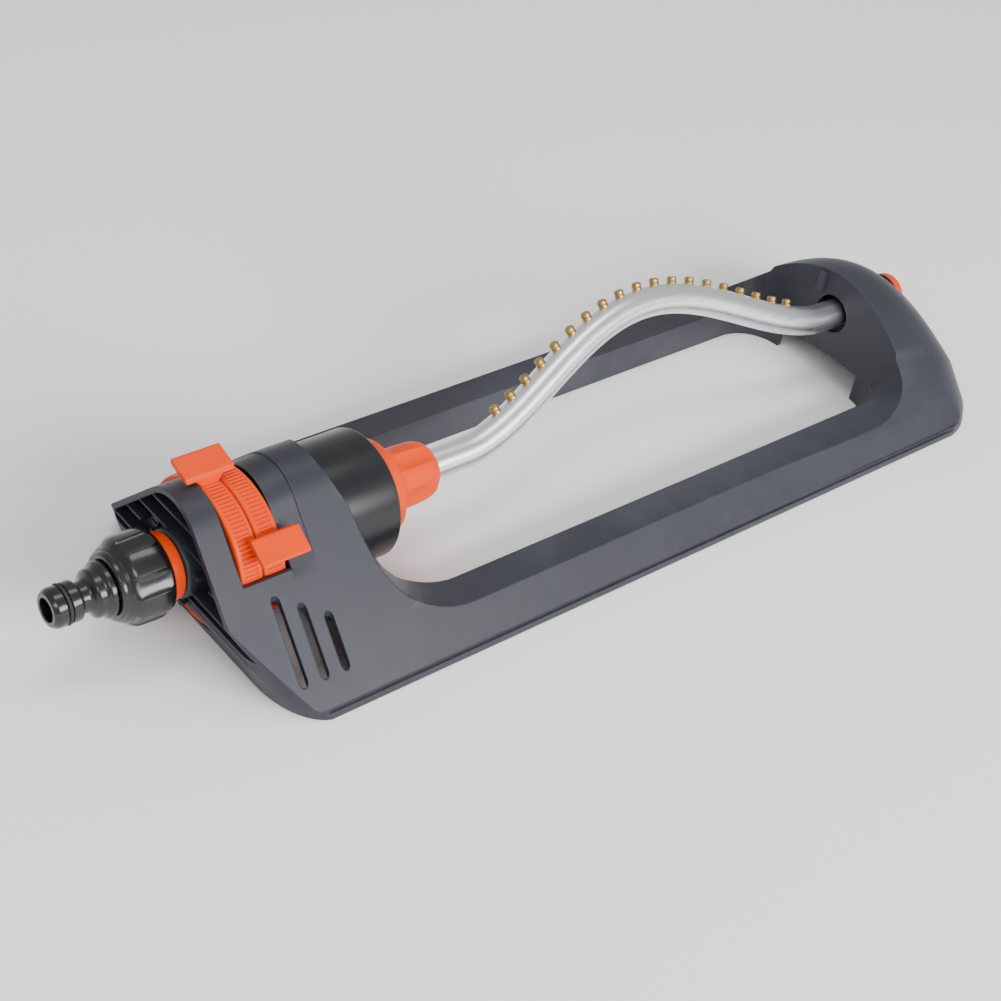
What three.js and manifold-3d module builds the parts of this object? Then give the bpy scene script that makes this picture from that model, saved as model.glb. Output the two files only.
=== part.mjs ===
// Oscillating lawn sprinkler: sled frame, water motor in a drum, arched spray tube.
// Millimetres, +Z up. X runs from the hose inlet to the far bearing, on the swing axis.
// While building, X = 0 is the drum's front rim; the finished group is centred at the end.
import * as THREE from "three";
import { mergeVertices } from "three/addons/utils/BufferGeometryUtils.js";
import Module from "manifold-3d";

const wasm = await Module();
wasm.setup();

// ---------- driving dimensions ----------
const gap = 0.3;                 // clearance between pieces that touch
const axisHeight = 38;           // swing axis above the ground
const wall = 2.6;                // moulded wall of the frame
const halfWidth = 77.5;          // frame, centre line to the lip
const lipHeight = 3.6;           // upright lip round the foot of the frame
const lipStep = 1.1;             // ledge above the lip
const slopeRatio = 1.042;        // rise over run of the frame's flanks
const nearCrownRadius = 21.6;    // rounding of that arch
const farCrown = 61;             // top of the arch at the far bearing
const nearFootX = -82;           // foot of the inlet end
const nearArchX = -98;           // arch edge at the inlet end
const nearArchFromZ = 37;        // height where the arch edge becomes upright
const farFootX = 372;            // foot of the far end
const farWallX = 311;            // upright wall the tube passes through
const farArchX = 311;            // the far dome starts to fall away here
const railTopZ = 18;             // flat top of the side rails
const openingHalfWidth = 48.4;   // central opening
const openingNearX = -8;         // central opening, motor end
const openingCornerRadius = 26;  // its corners at the motor end
const openingFarCorner = 22;     // its corners at the far end
const shoulderY = 64.5;          // crease between rail top and flank
const recessX = -88.6;           // floor of the inlet recess
const innerNearX = -86;          // inside face of the inlet wall
const drumRadius = 29.5;         // outside of the water motor housing
const drumFrontX = 0;
const drumBackX = -85.5;
const drumWall = 2.2;
const ringOuterRadius = drumRadius + 4.5;  // range rings
const nearCrown = axisHeight + ringOuterRadius + 2;  // top of the arch over the motor
const ringWidth = 10.5;
const ringFrontX = -63;          // front face of the front ring
const ringGap = 0.6;
const tabLength = 23;            // thumb tab, along the axis
const tubeRadius = 7.5;          // spray tube
const tubeWall = 1.2;
const tubeStartX = 12;
const tubeEndX = 350;
const tubeRise = 38.3;           // height of the tube's arch over the axis
const tubeRiseFromX = 58;
const tubeRiseToX = 302;
const restTilt = 33;             // degrees the tube leans to the back at rest
const nozzleCount = 19;
const nozzlePitch = 10.7;
const nozzleRadius = 2.4;
const nozzleStand = 3.2;         // nozzle tip above the tube
const shaftRadius = tubeRadius - tubeWall - gap;  // hollow output shaft, which fits in the tube
const shaftBore = shaftRadius - 2;
const collarRadius = 14;
const collarEndX = 37;
const flangeRadius = 22;
const spigotRadius = 12;         // threaded inlet stub
const spigotBore = 6.6;
const hubRadius = 15.2;
const nutRadius = 19.3;
const nutBackX = -104.2;
const nutFrontX = -127;
const nippleTipX = -153.5;
const nippleRadius = 8.6;
const nippleBore = 5.2;
const drumInner = drumRadius - drumWall;
const gearModule = drumInner / 45.5;       // the train fills the drum
const pinionTeeth = 12;
const wheelTeeth = 36;
const gearWidth = 5;
const layAngle = 200;            // degrees round the axis to the lay gear
const backlash = 0.567 * gearModule;           // taken off every tooth at the pitch line
const jetPlateX = -76;
const turbineX = -66;
const rearPlateX = -56;
const frontPlateX = -30;
const bearingRadius = 10;        // far bearing bush
const bearingEndX = 350.3;       // outer end of the bush, where its flange sits
const slotWidth = 4.2;           // cooling slots in the flanks

// ---------- small helpers ----------
const deg = Math.PI / 180;
const group = new THREE.Group();
const upright = new THREE.Vector3(0, 0, 1);

const paint = {
  slate: { color: 0x4b4f59, roughness: 0.55, metalness: 0 },
  charcoal: { color: 0x2b2d31, roughness: 0.4, metalness: 0 },
  black: { color: 0x17181a, roughness: 0.3, metalness: 0 },
  orange: { color: 0xff5a1e, roughness: 0.35, metalness: 0 },
  nylon: { color: 0xe6e3d8, roughness: 0.5, metalness: 0 },
  aluminium: { color: 0xc9ccd0, roughness: 0.3, metalness: 1 },
  steel: { color: 0xb0b2b5, roughness: 0.3, metalness: 1 },
  brass: { color: 0xc99a54, roughness: 0.35, metalness: 1 },
  rubber: { color: 0x1c1c1c, roughness: 0.8, metalness: 0 },
};

function toManifold(geometry) {
  const bare = new THREE.BufferGeometry();
  bare.setAttribute("position", geometry.getAttribute("position").clone());
  if (geometry.index) bare.setIndex(geometry.index.clone());
  const merged = mergeVertices(bare, 1e-4);
  const mesh = new wasm.Mesh({
    numProp: 3,
    vertProperties: Float32Array.from(merged.getAttribute("position").array),
    triVerts: Uint32Array.from(merged.index.array),
  });
  return new wasm.Manifold(mesh);
}

function toGeometry(manifold) {
  const mesh = manifold.getMesh();
  const geometry = new THREE.BufferGeometry();
  geometry.setAttribute("position", new THREE.BufferAttribute(Float32Array.from(mesh.vertProperties), 3));
  geometry.setIndex(new THREE.BufferAttribute(Uint32Array.from(mesh.triVerts), 1));
  return geometry;
}

function addPiece(name, solid, look) {
  const geometry = solid.isBufferGeometry ? mergeVertices(solid, 1e-4) : toGeometry(solid);
  const mesh = new THREE.Mesh(geometry, new THREE.MeshStandardMaterial(paint[look]));
  mesh.name = name;
  group.add(mesh);
}

// Turned body: the profile is [x, radius] pairs, closed on itself or on the axis.
// The outline runs so that the surface faces out, then it is laid along X at the axis.
function turned(profile, segments = 24) {
  let area = 0;
  profile.forEach(([x, r], i) => {
    const [nx, nr] = profile[(i + 1) % profile.length];
    area += x * nr - nx * r;
  });
  const ordered = area > 0 ? profile.slice() : profile.slice().reverse();
  const points = ordered.map(([x, r]) => new THREE.Vector2(r, x));
  const touchesAxis = profile.some(([, r]) => r === 0);
  if (touchesAxis) {
    while (!(points[0].x === 0 && points[points.length - 1].x === 0)) points.push(points.shift());
    points.reverse();
  } else {
    points.push(points[0].clone());
    points.reverse();
  }
  const geometry = new THREE.LatheGeometry(points, segments);
  geometry.rotateZ(-Math.PI / 2);
  geometry.translate(0, 0, axisHeight);
  return facingOut(geometry);
}

function facingOut(geometry) {
  const flat = mergeVertices(stripped(geometry), 1e-4);
  const p = flat.getAttribute("position");
  const index = flat.index.array;
  let volume = 0;
  const a = new THREE.Vector3();
  const b = new THREE.Vector3();
  const c = new THREE.Vector3();
  for (let i = 0; i < index.length; i += 3) {
    a.fromBufferAttribute(p, index[i]);
    b.fromBufferAttribute(p, index[i + 1]);
    c.fromBufferAttribute(p, index[i + 2]);
    volume += a.dot(b.cross(c));
  }
  if (volume < 0) {
    for (let i = 0; i < index.length; i += 3) {
      const keep = index[i];
      index[i] = index[i + 1];
      index[i + 1] = keep;
    }
  }
  return flat;
}

function stripped(geometry) {
  const bare = new THREE.BufferGeometry();
  bare.setAttribute("position", geometry.getAttribute("position"));
  if (geometry.index) bare.setIndex(geometry.index);
  return bare;
}

function turnedSolid(profile, segments) {
  return toManifold(turned(profile, segments));
}

// Closed skin over a stack of loops that all have the same number of points.
function skinned(loops) {
  const count = loops[0].length;
  const positions = [];
  const index = [];
  loops.forEach((loop) => loop.forEach((p) => positions.push(p.x, p.y, p.z)));
  for (let k = 0; k < loops.length - 1; k += 1) {
    for (let i = 0; i < count; i += 1) {
      const j = (i + 1) % count;
      const a = k * count + i;
      const b = k * count + j;
      index.push(a, b, b + count, a, b + count, a + count);
    }
  }
  [0, loops.length - 1].forEach((k) => {
    const centre = loops[k].reduce((sum, p) => sum.add(p), new THREE.Vector3()).divideScalar(count);
    const hub = positions.length / 3;
    positions.push(centre.x, centre.y, centre.z);
    for (let i = 0; i < count; i += 1) {
      const a = k * count + i;
      const b = k * count + ((i + 1) % count);
      if (k === 0) index.push(b, a, hub);
      else index.push(a, b, hub);
    }
  });
  const geometry = new THREE.BufferGeometry();
  geometry.setAttribute("position", new THREE.Float32BufferAttribute(positions, 3));
  geometry.setIndex(index);
  return toManifold(facingOut(geometry));
}

function box(x0, x1, y0, y1, z0, z1) {
  const geometry = new THREE.BoxGeometry(x1 - x0, y1 - y0, z1 - z0);
  geometry.translate((x0 + x1) / 2, (y0 + y1) / 2, (z0 + z1) / 2);
  return toManifold(geometry);
}

// Flat outline in the Y-Z plane pushed along X.
function slab(outline, x0, x1, holes = []) {
  const shape = new THREE.Shape(outline.map(([y, z]) => new THREE.Vector2(y, z)));
  holes.forEach((hole) => shape.holes.push(new THREE.Path(hole.map(([y, z]) => new THREE.Vector2(y, z)))));
  const geometry = new THREE.ExtrudeGeometry(shape, { depth: x1 - x0, bevelEnabled: false });
  geometry.applyMatrix4(new THREE.Matrix4().makeBasis(
    new THREE.Vector3(0, 1, 0),
    new THREE.Vector3(0, 0, 1),
    new THREE.Vector3(1, 0, 0),
  ));
  geometry.translate(x0, 0, 0);
  return toManifold(facingOut(geometry));
}

// Flat outline in the X-Z plane pushed along Y.
function plank(outline, y0, y1) {
  const shape = new THREE.Shape(outline.map(([x, z]) => new THREE.Vector2(x, z)));
  const geometry = new THREE.ExtrudeGeometry(shape, { depth: y1 - y0, bevelEnabled: false });
  geometry.applyMatrix4(new THREE.Matrix4().makeBasis(
    new THREE.Vector3(1, 0, 0),
    new THREE.Vector3(0, 0, 1),
    new THREE.Vector3(0, 1, 0),
  ));
  geometry.translate(0, y0, 0);
  return toManifold(facingOut(geometry));
}

function circle(radius, y = 0, z = axisHeight, count = 24) {
  return Array.from({ length: count }, (_, i) => {
    const a = (i / count) * Math.PI * 2;
    return [y + radius * Math.cos(a), z + radius * Math.sin(a)];
  });
}

function rod(radius, x0, x1, y = 0, z = axisHeight, count = 24) {
  return slab(circle(radius, y, z, count), x0, x1);
}

// Point at an angle round the swing axis, 0 at the top, positive to the front (-Y).
function polar(radius, angle) {
  return [-radius * Math.sin(angle * deg), axisHeight + radius * Math.cos(angle * deg)];
}

function spun(geometryOrSolid, angle) {
  const m = new THREE.Matrix4().makeTranslation(0, 0, axisHeight)
    .multiply(new THREE.Matrix4().makeRotationX(angle * deg))
    .multiply(new THREE.Matrix4().makeTranslation(0, 0, -axisHeight));
  if (geometryOrSolid.isBufferGeometry) return geometryOrSolid.applyMatrix4(m);
  return geometryOrSolid.transform(m.elements);
}

// ---------- frame ----------
const slopeRun = halfWidth - lipStep;
const slopeCos = 1 / Math.hypot(1, slopeRatio);

// Height of the arch over the motor, set in by t.
function nearHeight(y, t) {
  const crownTop = nearCrown - t;
  const radius = nearCrownRadius - t;
  const meet = radius * slopeRatio * slopeCos;
  if (Math.abs(y) < meet) return crownTop - radius + Math.sqrt(radius * radius - y * y);
  return crownTop - radius + radius * slopeCos - (Math.abs(y) - meet) * slopeRatio;
}

// Height of the dome over the far bearing, set in by t.
function farHeight(x, y, t) {
  const side = Math.min(1, Math.abs(y) / (halfWidth - 1.3 * t));
  const reach = Math.max(0, (x - farArchX) / (farFootX - t - farArchX));
  const end = reach < 1 ? Math.sqrt(1 - reach ** 2.3) : 0;
  return (farCrown - t) * (1 - side * side) * end;
}

function blendAlong(x) {
  const s = Math.min(1, Math.max(0, (x - 200) / 90));
  return s * s * (3 - 2 * s);
}

function flankLoop(x, t, floorZ) {
  const s = blendAlong(x);
  const steps = 12;
  const half = halfWidth - t;
  const shoulder = slopeRun - t * 1.2;
  const low = lipHeight + 0.4 - t * 0.5;
  const loop = [];
  loop.push(new THREE.Vector3(x, -half, floorZ));
  loop.push(new THREE.Vector3(x, -half, lipHeight - t * 0.5));
  for (let i = -steps; i <= steps; i += 1) {
    const y = (shoulder * i) / steps;
    const z = (1 - s) * nearHeight(y, t) + s * farHeight(x, y, t);
    loop.push(new THREE.Vector3(x, y, Math.max(low, z)));
  }
  loop.push(new THREE.Vector3(x, half, lipHeight - t * 0.5));
  loop.push(new THREE.Vector3(x, half, floorZ));
  return loop;
}

function flankBody(t) {
  const floorZ = t > 0 ? -20 : 0;
  const stations = [-130, 60, 200, 230, 260, 290, farArchX];
  for (let k = 1; k <= 9; k += 1) {
    stations.push(farArchX + (farFootX - farArchX) * Math.sin((k / 9) * 90 * deg));
  }
  stations.push(farFootX + 10);
  return skinned(stations.map((x) => flankLoop(x, t, floorZ)));
}

// Outline of the frame seen from above at height z, set in by t.
function planLoop(z, t) {
  const rise = Math.min(1, Math.max(0, z / nearArchFromZ));
  const near = Math.max(nearFootX + (nearArchX - nearFootX) * rise + t, t > 0 ? innerNearX : -1000);
  const far = farFootX - t;
  const edge = Math.max(20, halfWidth - Math.max(0, z - lipHeight) / slopeRatio) + 0.8 - t;
  const nearLong = 20 - 18 * rise;
  const nearWide = 34 - 31 * rise;
  const farLong = 40;
  const farWide = Math.min(38, edge - 2);
  const loop = [];
  const corner = (cx, cy, a, b, from) => {
    for (let i = 0; i <= 7; i += 1) {
      const u = (from + (i * 90) / 7) * deg;
      loop.push(new THREE.Vector3(cx + a * Math.cos(u), cy + b * Math.sin(u), z));
    }
  };
  corner(far - farLong, edge - farWide, farLong, farWide, 0);
  corner(near + nearLong, edge - nearWide, nearLong, nearWide, 90);
  corner(near + nearLong, nearWide - edge, nearLong, nearWide, 180);
  corner(far - farLong, farWide - edge, farLong, farWide, 270);
  return loop;
}

function planBody(t) {
  const heights = t > 0 ? [-25, 0, 16, nearArchFromZ, 90] : [-1, 0, nearArchFromZ, 90];
  return skinned(heights.map((z) => planLoop(z, t)));
}

// Everything above the rails and inside the central opening, grown by t into the frame.
function scoopBody(t) {
  const rings = [[], [], [], []];
  const place = (bx, by, hx, hy, slope, reach) => {
    const along = Math.cos(slope * deg);
    const up = Math.sin(slope * deg);
    const drop = t * (1 - up) / Math.max(along, 0.35);
    const x = bx + hx * t;
    const y = by + hy * t;
    const z = railTopZ - drop;
    rings[0].push(new THREE.Vector3(x, y, -40));
    rings[1].push(new THREE.Vector3(x, y, z));
    rings[2].push(new THREE.Vector3(x + hx * along * reach, y + hy * along * reach, z + up * reach));
    rings[3].push(new THREE.Vector3(x + hx * along * reach, y + hy * along * reach, 120));
  };
  const cornerX = openingNearX + openingCornerRadius;
  const cornerY = openingHalfWidth - openingCornerRadius;
  const nearSlope = (u) => (u < 45 ? 65 - (u / 45) ** 1.6 * 41 : 24 - 28 * Math.sin((u - 45) * 2 * deg));
  const steps = 9;
  const nearQuarter = (sign) => {
    const quarter = [];
    for (let i = 0; i <= steps; i += 1) {
      const u = (i * 90) / steps;
      quarter.push([u, cornerX - openingCornerRadius * Math.cos(u * deg),
        sign * (cornerY + openingCornerRadius * Math.sin(u * deg))]);
    }
    return quarter;
  };
  nearQuarter(1).forEach(([u, x, y]) => {
    place(x, y, -Math.cos(u * deg), Math.sin(u * deg), nearSlope(u), u < 20 ? 70 : 58);
  });
  place(150, openingHalfWidth, 0, 1, -4, 45);
  farQuarter(1);
  place(farWallX, 0, 1, 0, 90, 60);
  farQuarter(-1);
  place(150, -openingHalfWidth, 0, -1, -4, 45);
  nearQuarter(-1).reverse().forEach(([u, x, y]) => {
    place(x, y, -Math.cos(u * deg), -Math.sin(u * deg), nearSlope(u), u < 20 ? 70 : 58);
  });
  function farQuarter(sign) {
    const stops = [0, 8, 20, 35, 50, 70, 90];
    const order = sign > 0 ? stops.slice().reverse() : stops;
    const centreX = farWallX - openingFarCorner;
    const centreY = openingHalfWidth - openingFarCorner;
    order.forEach((u) => {
      const s = u / 90;
      const c = Math.cos(u * deg);
      const e = Math.sin(u * deg);
      const x = centreX + (openingFarCorner + t) * c;
      const y = centreY + (openingFarCorner + t) * e;
      const z = railTopZ - 1.05 * t * s;
      // where the corner's surface meets the outside of the frame, then a little beyond it
      const outY = centreY + (shoulderY - centreY) * s ** 0.45;
      const outX = farWallX + 5 * s - 30 * s ** 5;
      const outZ = farHeight(outX, outY, 0) * (1 - s ** 8) + (railTopZ - 1.1) * s ** 8;
      const lean = new THREE.Vector3(c, 1.3 * c * e, -e).normalize().multiplyScalar(t);
      const topX = x + 1.35 * (outX + lean.x - x);
      const topY = y + 1.35 * (outY + lean.y - y);
      const topZ = z + 1.35 * (outZ + lean.z - z);
      rings[0].push(new THREE.Vector3(x, sign * y, -40));
      rings[1].push(new THREE.Vector3(x, sign * y, z));
      rings[2].push(new THREE.Vector3(topX, sign * topY, topZ));
      rings[3].push(new THREE.Vector3(topX, sign * topY, 120));
    });
  }
  return skinned(rings);
}

function frameSolid(t) {
  return flankBody(t).intersect(planBody(t)).subtract(scoopBody(t));
}

function buildFrame() {
  const outside = flankBody(0).intersect(planBody(0));
  let solid = frameSolid(0).subtract(frameSolid(wall));
  // inlet recess in front of the end wall, with shading slats across it
  const recess = slab(recessOutline(wall), nearArchX - 5, recessX);
  solid = solid.subtract(recess);
  const slats = [];
  for (let i = 0; i < 5; i += 1) {
    const z = 22 + i * 9.6;
    slats.push(box(nearArchX + 2.5, recessX + 0.5, -60, 60, z, z + 1.4));
  }
  const slatBlock = wasm.Manifold.union(slats).intersect(slab(recessOutline(wall - 0.6), nearArchX, recessX + 1));
  const hub = rod(hubRadius, nearArchX, recessX + 0.5, 0, axisHeight, 36);
  solid = solid.add(slatBlock.intersect(outside).subtract(rod(hubRadius - 1, nearArchX - 1, recessX + 2)));
  solid = solid.add(hub);
  solid = solid.subtract(rod(9.6 + gap, nearArchX - 5, innerNearX + 3, 0, axisHeight, 32));
  // far bearing boss inside the dome, bored for the bush and its cap
  const boss = rod(bearingRadius + 4.5, bearingEndX - 10, farFootX - 8, 0, axisHeight, 32);
  solid = solid.add(boss.intersect(outside));
  solid = solid.subtract(rod(bearingRadius + gap, farArchX - 4, farFootX + 5, 0, axisHeight, 32));
  solid = solid.subtract(rod(bearingRadius + 2.6, bearingEndX, farFootX + 5, 0, axisHeight, 32));
  // clearance under the far wall, and the guide rib beside its hole
  solid = solid.subtract(box(farWallX - 2, farWallX + wall + 0.4, -27, 27, -1, 15));
  solid = solid.add(box(farWallX - 2.2, farWallX + 0.5, 9.5, 13, axisHeight + 8.5, axisHeight + 20));
  // bore for the drum, window over the range rings
  solid = solid.subtract(rod(drumRadius + 0.6, innerNearX + 0.5, 20, 0, axisHeight, 44));
  solid = solid.subtract(rod(ringOuterRadius + 0.7, ringBackX() - 0.9, ringFrontX + 1.2, 0, axisHeight, 44));
  const windowCut = box(ringBackX() - 0.9, ringFrontX + 1.2, -37, 37, axisHeight + 9, axisHeight + 46);
  solid = solid.subtract(windowCut).subtract(windowBevel());
  // cooling slots low on the flanks, one set each side
  [[-74, 40, 67.5], [-63.5, 44.5, 67.5], [-53, 49.5, 67.5]].forEach(([x, yTop, yLow]) => {
    [-1, 1].forEach((side) => {
      const cutter = box(x - slotWidth / 2, x + slotWidth / 2, yTop, yLow, 10, 56);
      solid = solid.subtract(side > 0 ? cutter : cutter.mirror([0, 1, 0]));
    });
  });
  screwAngles.forEach((angle) => {
    const [y, z] = polar(screwCircle, angle);
    solid = solid.subtract(rod(2.1, recessX - 3, innerNearX + 2, y, z, 12));
    solid = solid.subtract(rod(3.8, nearArchX - 1, recessX, y, z, 16));
  });
  return solid;
}

// Shallow slope on the arch that runs down to the window's front edge.
function windowBevel() {
  const loops = [[ringFrontX + 1.1, 2.2], [ringFrontX + 15, 0]].map(([x, depth]) => {
    const loop = [];
    for (let i = -6; i <= 6; i += 1) {
      const y = (slopeRun * i) / 12;
      loop.push(new THREE.Vector3(x, y, nearHeight(y, 0) + 0.4 - depth * (1 - (i / 6) ** 4)));
    }
    loop.push(new THREE.Vector3(x, slopeRun / 2, axisHeight + 50));
    loop.push(new THREE.Vector3(x, -slopeRun / 2, axisHeight + 50));
    return loop;
  });
  return skinned(loops);
}

function ringBackX() {
  return ringFrontX - 2 * ringWidth - ringGap;
}

function recessOutline(t) {
  const outline = [];
  const steps = 12;
  for (let i = -steps; i <= steps; i += 1) {
    const y = (62 * i) / steps;
    outline.push([y, nearHeight(y, t)]);
  }
  const kept = outline.filter(([, z]) => z > 17.5);
  const first = kept[0];
  const last = kept[kept.length - 1];
  return [[first[0], 15.5], ...kept, [last[0], 15.5]];
}

const screwAngles = [80, 180, 280];
const screwCircle = drumInner - 5.3;
addPiece("sled_frame", buildFrame(), "slate");

// ---------- water motor housing ----------
const drumBody = turnedSolid([
  [drumBackX, drumInner],
  [-12, drumInner],
  [-12, 11.5],
  [-3 - 9, 11.5],
  [-12, 9],
  [drumFrontX - 1.2, 9],
  [drumFrontX - 1.2, drumRadius - 2.4],
  [drumFrontX, drumRadius - 1.8],
  [drumFrontX, drumRadius - 0.8],
  [drumFrontX - 0.9, drumRadius],
  [drumBackX, drumRadius],
].filter((p, i, all) => i === 0 || p[0] !== all[i - 1][0] || p[1] !== all[i - 1][1]), 44);
addPiece("drive_housing", drumBody, "charcoal");

let backCover = turnedSolid([
  [drumBackX + 0.2, 9.9],
  [drumBackX + 0.2, drumInner - gap],
  [drumBackX + 4.5, drumInner - gap],
  [drumBackX + 4.5, drumInner - 2.5],
  [drumBackX + 2.8, drumInner - 2.5],
  [drumBackX + 2.8, 9.9],
], 30);
screwAngles.forEach((angle) => {
  const [y, z] = polar(screwCircle, angle);
  backCover = backCover.add(rod(3, drumBackX + 2.5, drumBackX + 6, y, z, 16));
});
screwAngles.forEach((angle) => {
  const [y, z] = polar(screwCircle, angle);
  backCover = backCover.subtract(rod(1.7, drumBackX - 1, drumBackX + 7, y, z, 12));
});
addPiece("housing_back_cover", backCover, "charcoal");

screwAngles.forEach((angle, i) => {
  const [y, z] = polar(screwCircle, angle);
  const head = rod(3.2, recessX - gap - 2, recessX - gap, y, z, 16);
  const slot = box(recessX - 3, recessX - gap - 1.2, y - 4, y + 4, z - 0.5, z + 0.5);
  const shank = rod(1.4, recessX - gap - 0.1, drumBackX + 5.5, y, z, 12);
  addPiece(`housing_screw_${i + 1}`, head.subtract(slot).add(shank), "steel");
});

addPiece("output_bearing", turned([
  [-6, shaftRadius + 0.1],
  [-6, 9 - gap],
  [drumFrontX - 1.2, 9 - gap],
  [drumFrontX - 1.2, shaftRadius + 0.1],
]), "nylon");
addPiece("output_seal", turned([
  [-10.5, shaftRadius + 0.1],
  [-10.5, 9 - gap],
  [-6 - gap, 9 - gap],
  [-6 - gap, shaftRadius + 0.1],
]), "rubber");

// ---------- inlet ----------
addPiece("inlet_spigot", turned([
  [drumBackX + 4, spigotBore],
  [drumBackX + 4, 9.6],
  [nearArchX - gap, 9.6],
  [nearArchX - gap, 14.2],
  [nearArchX - gap - 0.6, 14.8],
  [nearArchX - gap - 4.8, 14.8],
  [nearArchX - gap - 5.4, 14.2],
  [nearArchX - gap - 5.4, spigotRadius],
  [-117.5, spigotRadius],
  [-118.2, spigotRadius - 0.7],
  [-118.2, spigotBore],
], 24), "orange");
addPiece("inlet_washer", turned([
  [-118.2 - gap, 7],
  [-118.2 - gap, 11.6],
  [-120.6, 11.6],
  [-120.6, 7],
]), "rubber");
addPiece("inlet_filter", turned([
  [-117, spigotBore - gap],
  [-104, 2.6],
  [-103, 2.6],
  [-103, 1.4],
  [-104.8, 1.4],
  [-117, spigotBore - gap - 1.2],
]), "nylon");

function nutProfileRadius(angle) {
  const lobe = Math.cos(angle * 6);
  return nutRadius - 1.6 * Math.max(0, -lobe) ** 0.6;
}
const nutOutline = Array.from({ length: 54 }, (_, i) => {
  const a = (i / 54) * Math.PI * 2;
  const r = nutProfileRadius(a);
  return [r * Math.cos(a), axisHeight + r * Math.sin(a)];
});
const nutEnvelope = turnedSolid([
  [nutBackX - 0.6, 0],
  [nutBackX - 0.6, 17],
  [nutBackX - 1.4, nutRadius],
  [-121, nutRadius],
  [-124, 16],
  [-124, 15],
  [nutFrontX, 14.2],
  [nutFrontX, 0],
], 48);
const nutBore = turnedSolid([
  [nutBackX + 1, 0],
  [nutBackX + 1, spigotRadius + gap],
  [-123.2, spigotRadius + gap],
  [-123.2, 9.4],
  [nutFrontX - 1, 9.4],
  [nutFrontX - 1, 0],
], 48);
addPiece("coupling_nut", slab(nutOutline, nutFrontX - 1, nutBackX).intersect(nutEnvelope).subtract(nutBore), "black");

addPiece("hose_nipple", turned([
  [-120.6 - gap, nippleBore],
  [-120.6 - gap, 11.8],
  [-122.9, 11.8],
  [-122.9, 9.1],
  [-127.6, 9.1],
  [-127.6, 12.2],
  [-129.8, 12.2],
  [-131.4, 10.4],
  [-134.5, 10.4],
  [-136.5, 6.8],
  [-140.5, 6.8],
  [-141.2, nippleRadius],
  [-145.4, nippleRadius],
  [-145.4, 7],
  [-147.8, 7],
  [-147.8, nippleRadius],
  [-151.4, nippleRadius],
  [nippleTipX, nippleRadius - 1.4],
  [nippleTipX, nippleBore],
], 24), "black");
addPiece("nipple_o_ring", new THREE.TorusGeometry(8.15, 0.85, 6, 24)
  .rotateY(Math.PI / 2).translate(-146.6, 0, axisHeight), "rubber");

// ---------- gear train ----------
function gearOutline(teeth, phase, bore, trim = 0) {
  const pitch = (gearModule * teeth) / 2;
  const pressure = 25 * deg;
  const base = pitch * Math.cos(pressure);
  const inv = (a) => Math.tan(a) - a;
  const thick = (Math.PI * gearModule) / 2 - backlash;
  const tip = pitch + gearModule * 0.85 - trim;
  const root = pitch - gearModule * 1.3;
  const halfAt = (r) => {
    const pressureHere = r > base ? Math.acos(base / r) : 0;
    return thick / (2 * pitch) + inv(pressure) - inv(pressureHere);
  };
  const radii = [root, pitch, tip];
  const outline = [];
  for (let i = 0; i < teeth; i += 1) {
    const centre = ((i + phase) / teeth) * Math.PI * 2;
    radii.forEach((r) => outline.push([r, centre - halfAt(r)]));
    radii.slice().reverse().forEach((r) => outline.push([r, centre + halfAt(r)]));
  }
  return outline.map(([r, a]) => [r * Math.cos(a), r * Math.sin(a)]);
}

function shifted(outline, y, z) {
  return outline.map(([u, v]) => [u + y, v + z]);
}

const centreDistance = (gearModule * (pinionTeeth + wheelTeeth)) / 2;
const layY = centreDistance * Math.cos(layAngle * deg);
const layZ = axisHeight + centreDistance * Math.sin(layAngle * deg);
// Tooth phases: a tooth of one gear points at a gap of the other along the line of centres.
const centralPhase = (teeth) => (layAngle / 360) * teeth;
const layPhase = (teeth) => ((layAngle + 180) / 360) * teeth + 0.5;

const wheelLayX = -46;
const wheelOutX = wheelLayX + gearWidth + 3;
const pinionShaft = 1.5;

let turbine = rod(5, turbineX - 4, turbineX + 4, 0, axisHeight, 24);
const blades = [];
for (let i = 0; i < 12; i += 1) {
  const blade = plank([
    [turbineX - 4, axisHeight + 4],
    [turbineX + 4, axisHeight + 4],
    [turbineX + 4, axisHeight + drumInner - 8.3],
    [turbineX - 4, axisHeight + drumInner - 8.3],
  ], -0.7, 0.7);
  blades.push(spun(blade, i * 30));
}
turbine = turbine.add(wasm.Manifold.union(blades));
turbine = turbine.add(rod(drumInner - 7.7, turbineX + 3, turbineX + 4, 0, axisHeight, 32));
turbine = turbine.add(rod(3.2, turbineX + 3.5, wheelLayX - 1, 0, axisHeight, 20));
turbine = turbine.add(slab(shifted(gearOutline(pinionTeeth, centralPhase(pinionTeeth)), 0, axisHeight), wheelLayX - 1.5, wheelLayX + gearWidth + 1));
turbine = turbine.subtract(rod(pinionShaft + gap, turbineX - 6, wheelLayX + gearWidth + 3, 0, axisHeight, 16));
addPiece("turbine_wheel", turbine, "nylon");
addPiece("turbine_shaft", rod(pinionShaft, jetPlateX - 1, wheelLayX + gearWidth + 1.6, 0, axisHeight, 16), "steel");

let layGear = slab(shifted(gearOutline(wheelTeeth, layPhase(wheelTeeth)), layY, layZ), wheelLayX, wheelLayX + gearWidth);
layGear = layGear.add(rod(3, wheelLayX + gearWidth - 0.5, wheelOutX - 0.8, layY, layZ, 20));
layGear = layGear.add(slab(shifted(gearOutline(pinionTeeth, layPhase(pinionTeeth)), layY, layZ), wheelOutX - 1, wheelOutX + gearWidth + 0.5));
layGear = layGear.subtract(rod(pinionShaft + gap, wheelLayX - 2, wheelOutX + gearWidth + 2, layY, layZ, 16));
addPiece("lay_gear", layGear, "nylon");
addPiece("lay_gear_pin", rod(pinionShaft, rearPlateX + 0.5, frontPlateX + 1, layY, layZ, 16), "steel");

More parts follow.
